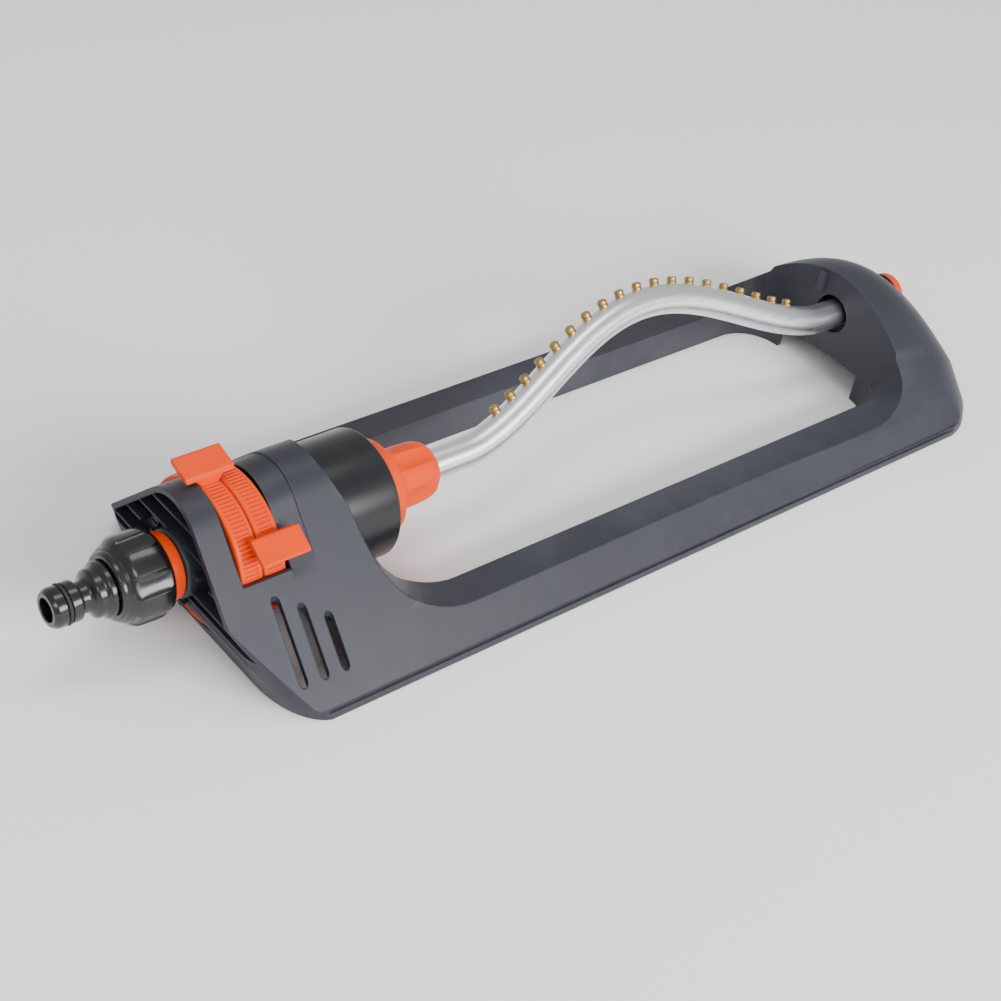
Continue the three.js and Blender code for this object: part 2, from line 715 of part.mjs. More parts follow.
const outGear = slab(shifted(gearOutline(wheelTeeth, centralPhase(wheelTeeth) + 0.0), 0, axisHeight), wheelOutX, wheelOutX + gearWidth)
  .subtract(rod(shaftRadius + gap, wheelOutX - 1, wheelOutX + gearWidth + 1, 0, axisHeight, 32));
addPiece("output_gear", outGear, "nylon");
addPiece("output_shaft", turned([
  [wheelOutX + 0.5, shaftBore],
  [wheelOutX + 0.5, shaftRadius],
  [30, shaftRadius],
  [30, shaftBore],
]), "charcoal");

function gearPlate(x, centreHole, pinHole) {
  let plate = rod(drumInner - gap, x, x + 2, 0, axisHeight, 32);
  plate = plate.subtract(rod(centreHole, x - 1, x + 3, 0, axisHeight, 24));
  plate = plate.subtract(rod(pinHole, x - 1, x + 3, layY, layZ, 16));
  postAngles.forEach((angle) => {
    const [y, z] = polar(postCircle, angle);
    plate = plate.subtract(rod(1.5 + gap, x - 1, x + 3, y, z, 12));
  });
  [0, 60].forEach((angle) => {
    const [y, z] = polar(15, angle);
    plate = plate.subtract(rod(3, x - 1, x + 3, y, z, 16));
  });
  return plate;
}
const postAngles = [30, 150, 310];
const postCircle = drumInner - 4.3;
const leverCircle = drumInner - 6.3;
addPiece("gear_plate_rear", gearPlate(rearPlateX, 3.2 + gap, pinionShaft + 0.1), "charcoal");
addPiece("gear_plate_front", gearPlate(frontPlateX, shaftRadius + 0.4, pinionShaft + 0.1), "charcoal");
postAngles.forEach((angle, i) => {
  const [y, z] = polar(postCircle, angle);
  const post = rod(2.6, rearPlateX + 2 + gap, frontPlateX - gap, y, z, 16)
    .add(rod(1.5, rearPlateX + 0.3, frontPlateX + 1.7, y, z, 12));
  addPiece(`gear_post_${i + 1}`, post, "steel");
});

let jetPlate = rod(drumInner - gap, jetPlateX, jetPlateX + 2.2, 0, axisHeight, 32)
  .subtract(rod(pinionShaft + 0.1, jetPlateX - 1, jetPlateX + 3, 0, axisHeight, 16));
[45, 135, 225, 315].forEach((angle) => {
  const [y, z] = polar(14.5, angle);
  jetPlate = jetPlate.subtract(rod(2, jetPlateX - 1, jetPlateX + 3, y, z, 12));
});
jetPlate = jetPlate.subtract(rod(1.5 + gap, jetPlateX - 1, jetPlateX + 3, 0, axisHeight + leverCircle, 12));
addPiece("jet_plate", jetPlate, "charcoal");

let lever = rod(3.4, jetPlateX - 2.6, jetPlateX - gap, 0, axisHeight + leverCircle, 20)
  .add(slab([[-3, leverCircle], [3, leverCircle], [2.2, 6], [-2.2, 6]].map(([y, z]) => [y, axisHeight + z]), jetPlateX - 2.4, jetPlateX - 0.6))
  .add(slab([[-7, 11], [7, 11], [7, 14], [-7, 14]].map(([y, z]) => [y, axisHeight + z]), jetPlateX - 2.4, jetPlateX - 0.6));
lever = lever.subtract(rod(1.5 + gap, jetPlateX - 4, jetPlateX + 1, 0, axisHeight + leverCircle, 12));
addPiece("reversing_lever", lever, "orange");
addPiece("lever_pivot_pin", rod(1.5, jetPlateX - 3.2, jetPlateX + 3.2, 0, axisHeight + leverCircle, 12), "steel");

// ---------- range rings ----------
function rangeRing(x0, lean) {
  const teeth = 45;
  const outline = Array.from({ length: teeth * 2 }, (_, i) => {
    const a = (i / (teeth * 2)) * Math.PI * 2;
    const r = ringOuterRadius - (i % 2 ? 0.35 : 0);
    return [r * Math.cos(a), axisHeight + r * Math.sin(a)];
  });
  let ring = slab(outline, x0 + 1.2, x0 + ringWidth - 1.2);
  ring = ring.add(rod(ringOuterRadius - 0.6, x0, x0 + ringWidth, 0, axisHeight, 45));
  // thumb tab: a short neck on the ring, then a flap that leans away from the crown
  const mid = x0 + ringWidth / 2;
  const neck = slab([
    [-2.2, ringOuterRadius - 1.4],
    [2.2, ringOuterRadius - 1.4],
    [2.2, ringOuterRadius + 4.6],
    [-1.2, ringOuterRadius + 4.6],
  ].map(([y, z]) => [y, axisHeight + z]), x0 + 0.6, x0 + ringWidth - 0.6);
  const flap = slab([
    [-2.4, ringOuterRadius + 3.2],
    [9.6, ringOuterRadius + 7.8],
    [9.8, ringOuterRadius + 9.4],
    [8.9, ringOuterRadius + 9.8],
    [-1.9, ringOuterRadius + 5.7],
  ].map(([y, z]) => [y, axisHeight + z]), mid - tabLength / 2, mid + tabLength / 2);
  let tab = neck.add(flap);
  if (lean > 0) tab = tab.mirror([0, 1, 0]);
  ring = ring.add(spun(tab, lean));
  return ring.subtract(rod(drumRadius + gap, x0 - 1, x0 + ringWidth + 1, 0, axisHeight, 48));
}
addPiece("range_ring_front", rangeRing(ringFrontX - ringWidth, 50), "orange");
addPiece("range_ring_rear", rangeRing(ringBackX(), -6), "orange");

// ---------- spray tube ----------
class TubePath extends THREE.Curve {
  constructor(fromX, toX) {
    super();
    this.fromX = fromX;
    this.toX = toX;
  }

  getPoint(t, target = new THREE.Vector3()) {
    const x = this.fromX + (this.toX - this.fromX) * t;
    return target.set(x, 0, axisHeight + tubeLift(x));
  }
}

function tubeLift(x) {
  if (x <= tubeRiseFromX || x >= tubeRiseToX) return 0;
  const s = (x - tubeRiseFromX) / (tubeRiseToX - tubeRiseFromX);
  const bell = 0.5 - 0.5 * Math.cos(2 * Math.PI * s);
  return tubeRise * bell ** 0.86;
}

const ringShape = new THREE.Shape();
ringShape.absarc(0, 0, tubeRadius, 0, Math.PI * 2, false);
const ringHole = new THREE.Path();
ringHole.absarc(0, 0, tubeRadius - tubeWall, 0, Math.PI * 2, true);
ringShape.holes.push(ringHole);
const tubeGeometry = new THREE.ExtrudeGeometry(ringShape, {
  steps: 34,
  curveSegments: 8,
  extrudePath: new TubePath(tubeStartX, tubeEndX),
  bevelEnabled: false,
});
let tube = toManifold(facingOut(tubeGeometry));

const tubeMid = (tubeRiseFromX + tubeRiseToX) / 2;
const nozzles = [];
for (let i = 0; i < nozzleCount; i += 1) {
  const x = tubeMid + (i - (nozzleCount - 1) / 2) * nozzlePitch;
  const slope = Math.atan2(tubeLift(x + 0.5) - tubeLift(x - 0.5), 1);
  const fan = (i - (nozzleCount - 1) / 2) * 1.6;
  const along = new THREE.Vector3(Math.sin(-slope), 0, Math.cos(slope));
  const place = (geometry) => geometry
    .rotateX(Math.PI / 2)
    .applyMatrix4(new THREE.Matrix4().makeRotationFromQuaternion(
      new THREE.Quaternion().setFromUnitVectors(upright, along),
    ))
    .translate(x, 0, axisHeight + tubeLift(x));
  const hole = toManifold(place(new THREE.CylinderGeometry(nozzleRadius + gap, nozzleRadius + gap, 12, 8).translate(0, 10, 0)));
  tube = tube.subtract(hole);
  const top = tubeRadius + nozzleStand;
  const profile = [
    new THREE.Vector2(0.5, tubeRadius - tubeWall),
    new THREE.Vector2(nozzleRadius, tubeRadius - tubeWall),
    new THREE.Vector2(nozzleRadius, top - 0.5),
    new THREE.Vector2(nozzleRadius - 0.4, top),
    new THREE.Vector2(0.5, top),
    new THREE.Vector2(0.5, tubeRadius - tubeWall),
  ];
  nozzles.push([fan, place(facingOut(new THREE.LatheGeometry(profile, 6)))]);
}
addPiece("spray_tube", spun(tube, -restTilt), "aluminium");
nozzles.forEach(([, geometry], i) => {
  addPiece(`nozzle_${String(i + 1).padStart(2, "0")}`, spun(geometry, -restTilt), "brass");
});

// ---------- collar, seal and plug that turn with the tube ----------
const collarOutline = Array.from({ length: 40 }, (_, i) => {
  const a = (i / 40) * Math.PI * 2;
  const r = collarRadius - 1.3 * Math.max(0, -Math.cos(a * 5)) ** 0.7;
  return [r * Math.cos(a), axisHeight + r * Math.sin(a)];
});
const collarEnvelope = turnedSolid([
  [6, 0],
  [6, collarRadius + 1],
  [collarEndX - 4, collarRadius],
  [collarEndX - 1.2, collarRadius - 1.6],
  [collarEndX, collarRadius - 4],
  [collarEndX, 0],
], 32);
const collarFlange = turnedSolid([
  [1, 0],
  [1, flangeRadius - 2],
  [2.4, flangeRadius],
  [8, flangeRadius],
  [10, flangeRadius - 2],
  [12, collarRadius + 2],
  [15, collarRadius - 2],
  [15, 0],
], 36);
const collarBore = turnedSolid([
  [0, 0],
  [0, shaftRadius + gap],
  [tubeStartX - gap, shaftRadius + gap],
  [tubeStartX - gap, tubeRadius + gap],
  [collarEndX + 1, tubeRadius + gap],
  [collarEndX + 1, 0],
], 28);
addPiece("tube_collar", slab(collarOutline, 8, collarEndX + 1).intersect(collarEnvelope)
  .add(collarFlange).subtract(collarBore), "orange");

const plugInner = tubeRadius - tubeWall - gap;
addPiece("end_plug", turned([
  [336, 0],
  [336, plugInner - 0.8],
  [337, plugInner],
  [342, plugInner],
  [342, plugInner - 1.4],
  [344.6, plugInner - 1.4],
  [344.6, plugInner],
  [tubeEndX + gap, plugInner],
  [tubeEndX + gap, tubeRadius - gap],
  [bearingEndX + 1.7, tubeRadius - gap],
  [bearingEndX + 1.7, bearingRadius + 1],
  [bearingEndX + 6.2, bearingRadius + 1],
  [bearingEndX + 8, bearingRadius - 0.8],
  [bearingEndX + 8, 4.6],
  [bearingEndX + 9.5, 4],
  [bearingEndX + 9.5, 0],
], 24), "orange");
addPiece("plug_o_ring", new THREE.TorusGeometry(plugInner - 0.65, 0.6, 6, 20)
  .rotateY(Math.PI / 2).translate(343.3, 0, axisHeight), "rubber");
addPiece("end_bearing", turned([
  [337, tubeRadius + 0.1],
  [337, bearingRadius],
  [bearingEndX + 0.2, bearingRadius],
  [bearingEndX + 0.2, bearingRadius + 1.8],
  [bearingEndX + 1.4, bearingRadius + 1.8],
  [bearingEndX + 1.4, tubeRadius + 0.1],
], 24), "charcoal");

group.position.x = -(nippleTipX + farFootX) / 2;
group.updateMatrixWorld(true);
export default group;
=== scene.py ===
# %% [markdown]
# # An oscillating lawn sprinkler
# Water enters at the push-fit nose, spins a turbine in the round drum, and a gear train swings the
# bent tube from side to side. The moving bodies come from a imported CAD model, so the joints are
# settled before any surface is drawn. This script dresses those bodies: every visible piece is made
# again as a fine surface in the same frame, and rides on its CAD body. Sizes below are in
# millimetres, measured from a datum on the swing axis at the drum's front rim, which is read off the
# CAD drum instead of being typed in, so the two models can't drift apart.

import bpy
import numpy as np
from mathutils import Matrix, Vector


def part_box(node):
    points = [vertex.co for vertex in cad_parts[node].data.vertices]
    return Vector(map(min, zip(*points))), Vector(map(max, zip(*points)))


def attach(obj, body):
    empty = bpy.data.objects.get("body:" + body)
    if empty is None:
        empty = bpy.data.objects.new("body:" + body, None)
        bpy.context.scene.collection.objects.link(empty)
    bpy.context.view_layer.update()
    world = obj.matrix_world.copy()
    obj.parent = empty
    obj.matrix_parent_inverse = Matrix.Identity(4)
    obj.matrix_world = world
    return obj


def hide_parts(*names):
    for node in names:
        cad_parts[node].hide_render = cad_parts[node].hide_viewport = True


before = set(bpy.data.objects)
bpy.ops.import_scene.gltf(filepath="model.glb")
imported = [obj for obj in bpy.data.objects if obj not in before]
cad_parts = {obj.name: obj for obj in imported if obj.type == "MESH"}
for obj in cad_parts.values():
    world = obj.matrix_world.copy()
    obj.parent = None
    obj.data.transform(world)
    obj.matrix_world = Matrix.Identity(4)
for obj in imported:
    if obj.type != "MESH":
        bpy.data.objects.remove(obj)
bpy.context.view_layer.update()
drum_low, drum_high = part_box("drive_housing")
DATUM_X = drum_high[0] * 1000
AXIS_Z = (drum_low[2] + drum_high[2]) * 500

# %% [markdown]
# ## From arrays to meshes
# A moulded or turned part is a surface with two parameters, so a helper that turns a grid of points
# into a closed mesh makes nearly everything here. It could be done with Blender's primitives and
# edits, but a grid keeps the formula of each shape in one place and every size a number. A mesh that
# faces inwards breaks booleans and shading, so the sign of its volume decides which way round its
# faces go.

# %% Grid to mesh
def fan_volume(points, faces):
    """Signed volume under faces of one size (rows of indices): the sum, over each face's fan of
    triangles, of a . (b x c) / 6. It is positive when the faces point outwards."""
    a, b, c = points[faces[:, :1]], points[faces[:, 1:-1]], points[faces[:, 2:]]
    return float(np.sum(a * np.cross(b, c))) / 6


def shade(obj, angle=35):
    """Smooth shading that breaks at edges sharper than the angle in degrees."""
    obj.data.shade_smooth()
    obj.data.set_sharp_from_angle(angle=np.radians(angle))


def new_piece(name, points, quads, caps=(), smooth=35):
    """A mesh object from millimetre points, an array of four-sided faces and a list of end caps.
    All faces are turned outwards, and edges over `smooth` degrees stay sharp."""
    volume = fan_volume(points, quads) + sum(fan_volume(points, cap[None]) for cap in caps)
    if volume < 0:
        quads, caps = quads[:, ::-1], [cap[::-1] for cap in caps]
    mesh = bpy.data.meshes.new(name)
    metres = (points + [DATUM_X, 0, 0]) * 0.001
    mesh.from_pydata(metres.tolist(), [], quads.tolist() + [cap.tolist() for cap in caps])
    mesh.update()
    obj = bpy.data.objects.new(name, mesh)
    bpy.context.scene.collection.objects.link(obj)
    shade(obj, smooth)
    return obj


def grid_quads(rows, columns, wrap_rows=False, wrap_columns=True):
    """Quads of a grid stored row by row; a wrapped direction joins its last line to its first."""
    i = np.arange(rows if wrap_rows else rows - 1)
    j = np.arange(columns if wrap_columns else columns - 1)
    i, j = np.meshgrid(i, j, indexing="ij")
    i2, j2 = (i + 1) % rows, (j + 1) % columns
    corners = [i * columns + j, i * columns + j2, i2 * columns + j2, i2 * columns + j]
    return np.stack(corners, -1).reshape(-1, 4)


def skin(name, loops, smooth=35):
    """A closed body over a stack of loops (rows x points x 3), with a flat cap on each end."""
    loops = np.asarray(loops, float)
    rows, columns, _ = loops.shape
    caps = [np.arange(columns)[::-1], np.arange((rows - 1) * columns, rows * columns)]
    return new_piece(name, loops.reshape(-1, 3), grid_quads(rows, columns), caps, smooth)


def torus_skin(name, grid, smooth=35):
    """A closed ring-like body: both directions of the grid wrap round."""
    rows, columns, _ = grid.shape
    return new_piece(name, grid.reshape(-1, 3), grid_quads(rows, columns, wrap_rows=True), smooth=smooth)


print("a 3 x 4 tube has", len(grid_quads(3, 4)), "quads; a 3 x 4 ring has", len(grid_quads(3, 4, True)))

# %% [markdown]
# ## Rounded corners and turned bodies
# No moulded or turned edge is perfectly sharp, and the thin highlight on a rounded one is what makes
# a part look real. A Bevel modifier could do it, but it rounds every edge alike. Here each corner of
# a profile is swapped for a short curve before the profile is spun, so each corner has a radius of
# its own and the result is plain geometry.

# %% Profiles
SHARP_CUT = 0.02  # a corner cut by less than this stays one point


def rounded(profile, radius, steps=4, closed=True):
    """Each corner becomes the curve (1-t)^2 a + 2t(1-t) corner + t^2 b, where a and b lie on the edges
    before and after it. The length cut off is the radius, or 0.45 of the shorter edge if that is less."""
    corner = np.asarray(profile, float)
    before, after = np.roll(corner, 1, 0) - corner, np.roll(corner, -1, 0) - corner
    length_before, length_after = np.linalg.norm(before, axis=1), np.linalg.norm(after, axis=1)
    cut = np.minimum(radius, 0.45 * np.minimum(length_before, length_after))
    if not closed:
        cut[[0, -1]] = 0
    a = (corner + before * (cut / length_before)[:, None])[:, None]
    b = (corner + after * (cut / length_after)[:, None])[:, None]
    t = np.linspace(0, 1, steps)[:, None]
    curve = (1 - t) ** 2 * a + 2 * t * (1 - t) * corner[:, None] + t**2 * b
    plain = cut < SHARP_CUT
    curve[plain, 0] = corner[plain]
    keep = np.ones(curve.shape[:2], bool)
    keep[plain, 1:] = False
    return curve[keep]


def spun_grid(profile, radii, turn):
    """Grid of a body round the swing axis: x from the profile, y = r cos(turn), z = axis + r sin(turn)."""
    x = np.broadcast_to(profile[:, :1], (len(profile), len(turn)))
    return np.stack([x, radii * np.cos(turn), AXIS_Z + radii * np.sin(turn)], -1)


def turned(name, profile, radius=0.4, segments=96, steps=4):
    """A turned body round the swing axis from (x, r) pairs: x along the axis, r out from it. A profile
    that ends on the axis is closed by caps, any other wraps round like a ring."""
    profile = np.asarray(profile, float)
    on_axis = profile[0, 1] == 0 and profile[-1, 1] == 0
    p = rounded(profile, radius, steps, closed=not on_axis)
    if on_axis:
        p = p[1:-1]
    turn = np.linspace(0, 2 * np.pi, segments, endpoint=False)
    grid = spun_grid(p, p[:, 1:], turn)
    return skin(name, grid, 40) if on_axis else torus_skin(name, grid, 40)


def dress(obj, body, material, *nodes, slot=None):
    """Material, body, and the CAD nodes this piece stands for, which are hidden. The slot is not used."""
    obj.data.materials.clear()
    obj.data.materials.append(material)
    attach(obj, body)
    if nodes:
        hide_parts(*nodes)
    return obj


print("a square with rounded corners has", len(rounded([(0, 0), (1, 0), (1, 1), (0, 1)], 0.1)), "points")

# %% [markdown]
# ## Finishes
# The real object has five looks: slate moulded plastic with a fine spark-eroded grain, smoother
# charcoal plastic, glossy black couplings, saturated orange plastic, and bare metal. Image textures
# could be wrapped round the parts, but patterns worked out from noise have no seams and no fixed
# resolution. A few small helpers keep the node trees readable.

# %% Node helpers
def group_of(name, inputs, outputs):
    """An empty shader node group with named float inputs and given outputs."""
    tree = bpy.data.node_groups.new(name, "ShaderNodeTree")
    for label, value in inputs:
        socket = tree.interface.new_socket(label, in_out="INPUT", socket_type="NodeSocketFloat")
        socket.default_value = value
    for label, kind in outputs:
        tree.interface.new_socket(label, in_out="OUTPUT", socket_type=kind)
    return tree, tree.nodes.new("NodeGroupInput"), tree.nodes.new("NodeGroupOutput")


def node(tree, kind, **values):
    """A new node; each value sets the node's own property, or else the input of that name."""
    made = tree.nodes.new(kind)
    for key, value in values.items():
        if hasattr(made, key):
            setattr(made, key, value)
        else:
            made.inputs[key.replace("_", " ")].default_value = value
    return made


def math(tree, operation, a, b, clamp=False):
    """One Math node; a and b are sockets or numbers."""
    made = tree.nodes.new("ShaderNodeMath")
    made.operation = operation
    made.use_clamp = clamp
    for index, value in enumerate((a, b)):
        if isinstance(value, (int, float)):
            made.inputs[index].default_value = value
        else:
            tree.links.new(value, made.inputs[index])
    return made.outputs[0]


def ranged(tree, value, low, high, out_low=0.0, out_high=1.0):
    """Straight-line map of low..high to out_low..out_high, held at both ends."""
    made = tree.nodes.new("ShaderNodeMapRange")
    made.inputs["From Min"].default_value = low
    made.inputs["From Max"].default_value = high
    made.inputs["To Min"].default_value = out_low
    made.inputs["To Max"].default_value = out_high
    tree.links.new(value, made.inputs["Value"])
    return made.outputs["Result"]


print("node helpers ready")

# %% [markdown]
# ## Effects that every plastic shares
# Mould grain, handling marks and dust are on all the plastic parts, only weaker or stronger. Copies
# of their nodes in each material could do it, but a node group with named inputs is built once, and
# each material sets its own amounts. Where an edge bulges out, Pointiness rises, and that is where
# hands rub the surface pale; dust fades out with height above the ground.

# %% Shared effects
def make_grain():
    """Moulding grain: fine cells plus a soft ripple, as a height, and a slow change of shade."""
    tree, given, out = group_of("moulding_grain", [("Cells per metre", 1800.0), ("Ripple", 0.25)],
                                [("Height", "NodeSocketFloat"), ("Shade", "NodeSocketFloat")])
    place = node(tree, "ShaderNodeTexCoord")
    cells = node(tree, "ShaderNodeTexNoise", Detail=2.0, Roughness=0.6)
    tree.links.new(place.outputs["Object"], cells.inputs["Vector"])
    tree.links.new(given.outputs["Cells per metre"], cells.inputs["Scale"])
    slow = node(tree, "ShaderNodeTexNoise", Scale=22.0, Detail=3.0, Roughness=0.55)
    tree.links.new(place.outputs["Object"], slow.inputs["Vector"])
    ripple = math(tree, "MULTIPLY", slow.outputs["Fac"], given.outputs["Ripple"])
    tree.links.new(math(tree, "ADD", cells.outputs["Fac"], ripple), out.inputs["Height"])
    tree.links.new(ranged(tree, slow.outputs["Fac"], 0.3, 0.7), out.inputs["Shade"])
    return tree


def make_rubs():
    """Handling marks: thin scratches in patches, and a paler line where an edge has been rubbed."""
    tree, given, out = group_of("handling_rubs", [("Amount", 0.3), ("Edge", 0.5)],
                                [("Scratch", "NodeSocketFloat"), ("Edge", "NodeSocketFloat")])
    place = node(tree, "ShaderNodeTexCoord")
    squeeze = node(tree, "ShaderNodeMapping")
    squeeze.inputs["Scale"].default_value = (40, 520, 520)
    squeeze.inputs["Rotation"].default_value = (0.3, 0.5, 0.8)
    tree.links.new(place.outputs["Object"], squeeze.inputs["Vector"])
    lines = node(tree, "ShaderNodeTexNoise", Scale=1.0, Detail=3.0, Roughness=0.7)
    tree.links.new(squeeze.outputs["Vector"], lines.inputs["Vector"])
    patches = node(tree, "ShaderNodeTexNoise", Scale=16.0, Detail=2.0)
    tree.links.new(place.outputs["Object"], patches.inputs["Vector"])
    thin = ranged(tree, lines.outputs["Fac"], 0.66, 0.72)
    where = ranged(tree, patches.outputs["Fac"], 0.52, 0.66)
    both = math(tree, "MULTIPLY", thin, where)
    tree.links.new(math(tree, "MULTIPLY", both, given.outputs["Amount"]), out.inputs["Scratch"])
    shape = node(tree, "ShaderNodeNewGeometry")
    crest = ranged(tree, shape.outputs["Pointiness"], 0.52, 0.6)
    rough = ranged(tree, patches.outputs["Fac"], 0.35, 0.6)
    edge = math(tree, "MULTIPLY", math(tree, "MULTIPLY", crest, rough), given.outputs["Edge"])
    tree.links.new(edge, out.inputs["Edge"])
    return tree


def make_dust():
    """Dust and dried splashes: more low down, broken up by noise."""
    tree, given, out = group_of("ground_dust", [("Amount", 0.3), ("Top", 0.03)],
                                [("Mask", "NodeSocketFloat")])
    place = node(tree, "ShaderNodeTexCoord")
    split = node(tree, "ShaderNodeSeparateXYZ")
    tree.links.new(place.outputs["Object"], split.inputs["Vector"])
    height = math(tree, "DIVIDE", split.outputs["Z"], given.outputs["Top"])
    low = math(tree, "SUBTRACT", 1.0, height, clamp=True)
    specks = node(tree, "ShaderNodeTexNoise", Scale=130.0, Detail=5.0, Roughness=0.7)
    tree.links.new(place.outputs["Object"], specks.inputs["Vector"])
    broken = ranged(tree, specks.outputs["Fac"], 0.42, 0.72)
    mask = math(tree, "MULTIPLY", math(tree, "MULTIPLY", low, broken), given.outputs["Amount"])
    tree.links.new(mask, out.inputs["Mask"])
    return tree


GRAIN, RUBS, DUST = make_grain(), make_rubs(), make_dust()
print("node groups:", [g.name for g in bpy.data.node_groups])

# %% [markdown]
# ## Moulded plastics
# Injection-moulded plastic is one colour right through, with gloss set by the mould's surface: fine
# grain on the frame, near polish on the couplings. One function builds all of them, because they
# differ only in numbers. A Bevel node rounds the edges in the shading, which hides the facets of the
# boolean cuts. Numbers that are the same all over go on the shader's own sockets.

# %% A moulded plastic
DRY_SPLASH = (0.2, 0.18, 0.15)
GLOSS_DRIFT = 0.06  # how far the roughness wanders to either side


def mix_colour(tree, mask, a, b):
    """Mix of two colours by a mask; each is a socket or a colour."""
    made = tree.nodes.new("ShaderNodeMix")
    made.data_type = "RGBA"
    tree.links.new(mask, made.inputs["Factor"])
    for index, value in ((6, a), (7, b)):
        if isinstance(value, tuple):
            made.inputs[index].default_value = (*value, 1.0)
        else:
            tree.links.new(value, made.inputs[index])
    return made.outputs[2]


def plastic(name, colour, paler, rough, grain=0.25, cells=1800.0, rubs=0.3, edge=0.4, dust=0.25,
            coat=0.0, round_edge=0.0006, specular=0.5, bleed=0.0):
    """Base colour drifts to its paler shade, scratches and edges are paler still, dust is a dull tan;
    roughness follows the same masks; the bump is the grain over softly rounded edges."""
    material = bpy.data.materials.new(name)
    material.use_nodes = True
    tree = material.node_tree
    shader = tree.nodes["Principled BSDF"]
    shader.inputs["Specular IOR Level"].default_value = specular
    shader.inputs["Coat Weight"].default_value = coat
    shader.inputs["Coat Roughness"].default_value = 0.12
    if bleed:
        shader.inputs["Subsurface Weight"].default_value = bleed
        shader.inputs["Subsurface Radius"].default_value = (0.004, 0.0012, 0.0006)
    fine = node(tree, "ShaderNodeGroup", node_tree=GRAIN, Cells_per_metre=cells)
    worn = node(tree, "ShaderNodeGroup", node_tree=RUBS, Amount=rubs, Edge=edge)
    low = node(tree, "ShaderNodeGroup", node_tree=DUST, Amount=dust)
    base = mix_colour(tree, fine.outputs["Shade"], colour, paler)
    light = tuple(min(1.0, c * 1.5 + 0.03) for c in paler)
    marks = math(tree, "MAXIMUM", worn.outputs["Scratch"], worn.outputs["Edge"], clamp=True)
    base = mix_colour(tree, marks, base, light)
    base = mix_colour(tree, low.outputs["Mask"], base, DRY_SPLASH)
    tree.links.new(base, shader.inputs["Base Color"])
    value = ranged(tree, fine.outputs["Shade"], 0.0, 1.0, rough - GLOSS_DRIFT, rough + GLOSS_DRIFT)
    value = math(tree, "ADD", value, math(tree, "MULTIPLY", low.outputs["Mask"], 0.3))
    value = math(tree, "ADD", value, math(tree, "MULTIPLY", worn.outputs["Scratch"], 0.2), clamp=True)
    tree.links.new(value, shader.inputs["Roughness"])
    bump = node(tree, "ShaderNodeBump", Strength=grain, Distance=0.0002)
    tree.links.new(fine.outputs["Height"], bump.inputs["Height"])
    if round_edge:
        soft = node(tree, "ShaderNodeBevel", samples=6, Radius=round_edge)
        tree.links.new(soft.outputs["Normal"], bump.inputs["Normal"])
    tree.links.new(bump.outputs["Normal"], shader.inputs["Normal"])
    return material


slate = plastic("slate_frame", (0.021, 0.023, 0.032), (0.026, 0.0285, 0.039), 0.44, grain=0.22,
                cells=2600.0, rubs=0.12, edge=0.35, dust=0.06, round_edge=0.0008, specular=0.38)
charcoal = plastic("charcoal_drum", (0.006, 0.0065, 0.008), (0.009, 0.0095, 0.0115), 0.3, grain=0.1,
                   cells=2400.0, rubs=0.15, edge=0.5, dust=0.08, round_edge=0.0004)
black = plastic("black_coupling", (0.005, 0.005, 0.0055), (0.008, 0.008, 0.009), 0.22, grain=0.06,
                cells=1500.0, rubs=0.15, edge=0.3, dust=0.05, coat=0.3, round_edge=0.0004)
orange = plastic("orange_trim", (0.78, 0.05, 0.0), (0.84, 0.062, 0.0), 0.38, grain=0.05, cells=1500.0,
                 rubs=0.05, edge=0.06, dust=0.03, round_edge=0.0004, specular=0.15)
nylon = plastic("white_nylon", (0.72, 0.7, 0.62), (0.8, 0.78, 0.7), 0.45, grain=0.08, rubs=0.1,
                edge=0.1, dust=0.0, bleed=0.08)
rubber = plastic("black_rubber", (0.014, 0.014, 0.014), (0.022, 0.022, 0.022), 0.7, grain=0.3,
                 cells=3000.0, rubs=0.1, edge=0.1, dust=0.2)
print("plastics:", [m.name for m in bpy.data.materials])

# %% [markdown]
# ## Bare metals
# The tube is drawn aluminium with a satin finish, the jets are turned brass, and the pins and screws
# are steel. Drawing and turning leave fine lines along the part. Noise squeezed across the part and
# left long along it gives those lines, and it drives both the roughness and a faint bump, so the
# highlight breaks up the same way that the surface does.

# %% Bare metal
def metal(name, colour, darker, rough, brush=(8.0, 900.0, 900.0), bump=0.08, tarnish=0.3):
    """Fine lines along the object tint the roughness; tarnish is a slow darker cloud."""
    material = bpy.data.materials.new(name)
    material.use_nodes = True
    tree = material.node_tree
    shader = tree.nodes["Principled BSDF"]
    shader.inputs["Metallic"].default_value = 1.0
    place = node(tree, "ShaderNodeTexCoord")
    squeeze = node(tree, "ShaderNodeMapping")
    squeeze.inputs["Scale"].default_value = brush
    tree.links.new(place.outputs["Object"], squeeze.inputs["Vector"])
    lines = node(tree, "ShaderNodeTexNoise", Scale=1.0, Detail=4.0, Roughness=0.65)
    tree.links.new(squeeze.outputs["Vector"], lines.inputs["Vector"])
    cloud = node(tree, "ShaderNodeTexNoise", Scale=60.0, Detail=4.0)
    tree.links.new(place.outputs["Object"], cloud.inputs["Vector"])
    mask = ranged(tree, cloud.outputs["Fac"], 0.45, 0.75, 0.0, tarnish)
    tree.links.new(mix_colour(tree, mask, colour, darker), shader.inputs["Base Color"])
    value = ranged(tree, lines.outputs["Fac"], 0.3, 0.7, rough - 0.05, rough + 0.07)
    value = math(tree, "ADD", value, math(tree, "MULTIPLY", mask, 0.25), clamp=True)
    tree.links.new(value, shader.inputs["Roughness"])
    raised = node(tree, "ShaderNodeBump", Strength=bump, Distance=0.0001)
    tree.links.new(lines.outputs["Fac"], raised.inputs["Height"])
    tree.links.new(raised.outputs["Normal"], shader.inputs["Normal"])
    return material


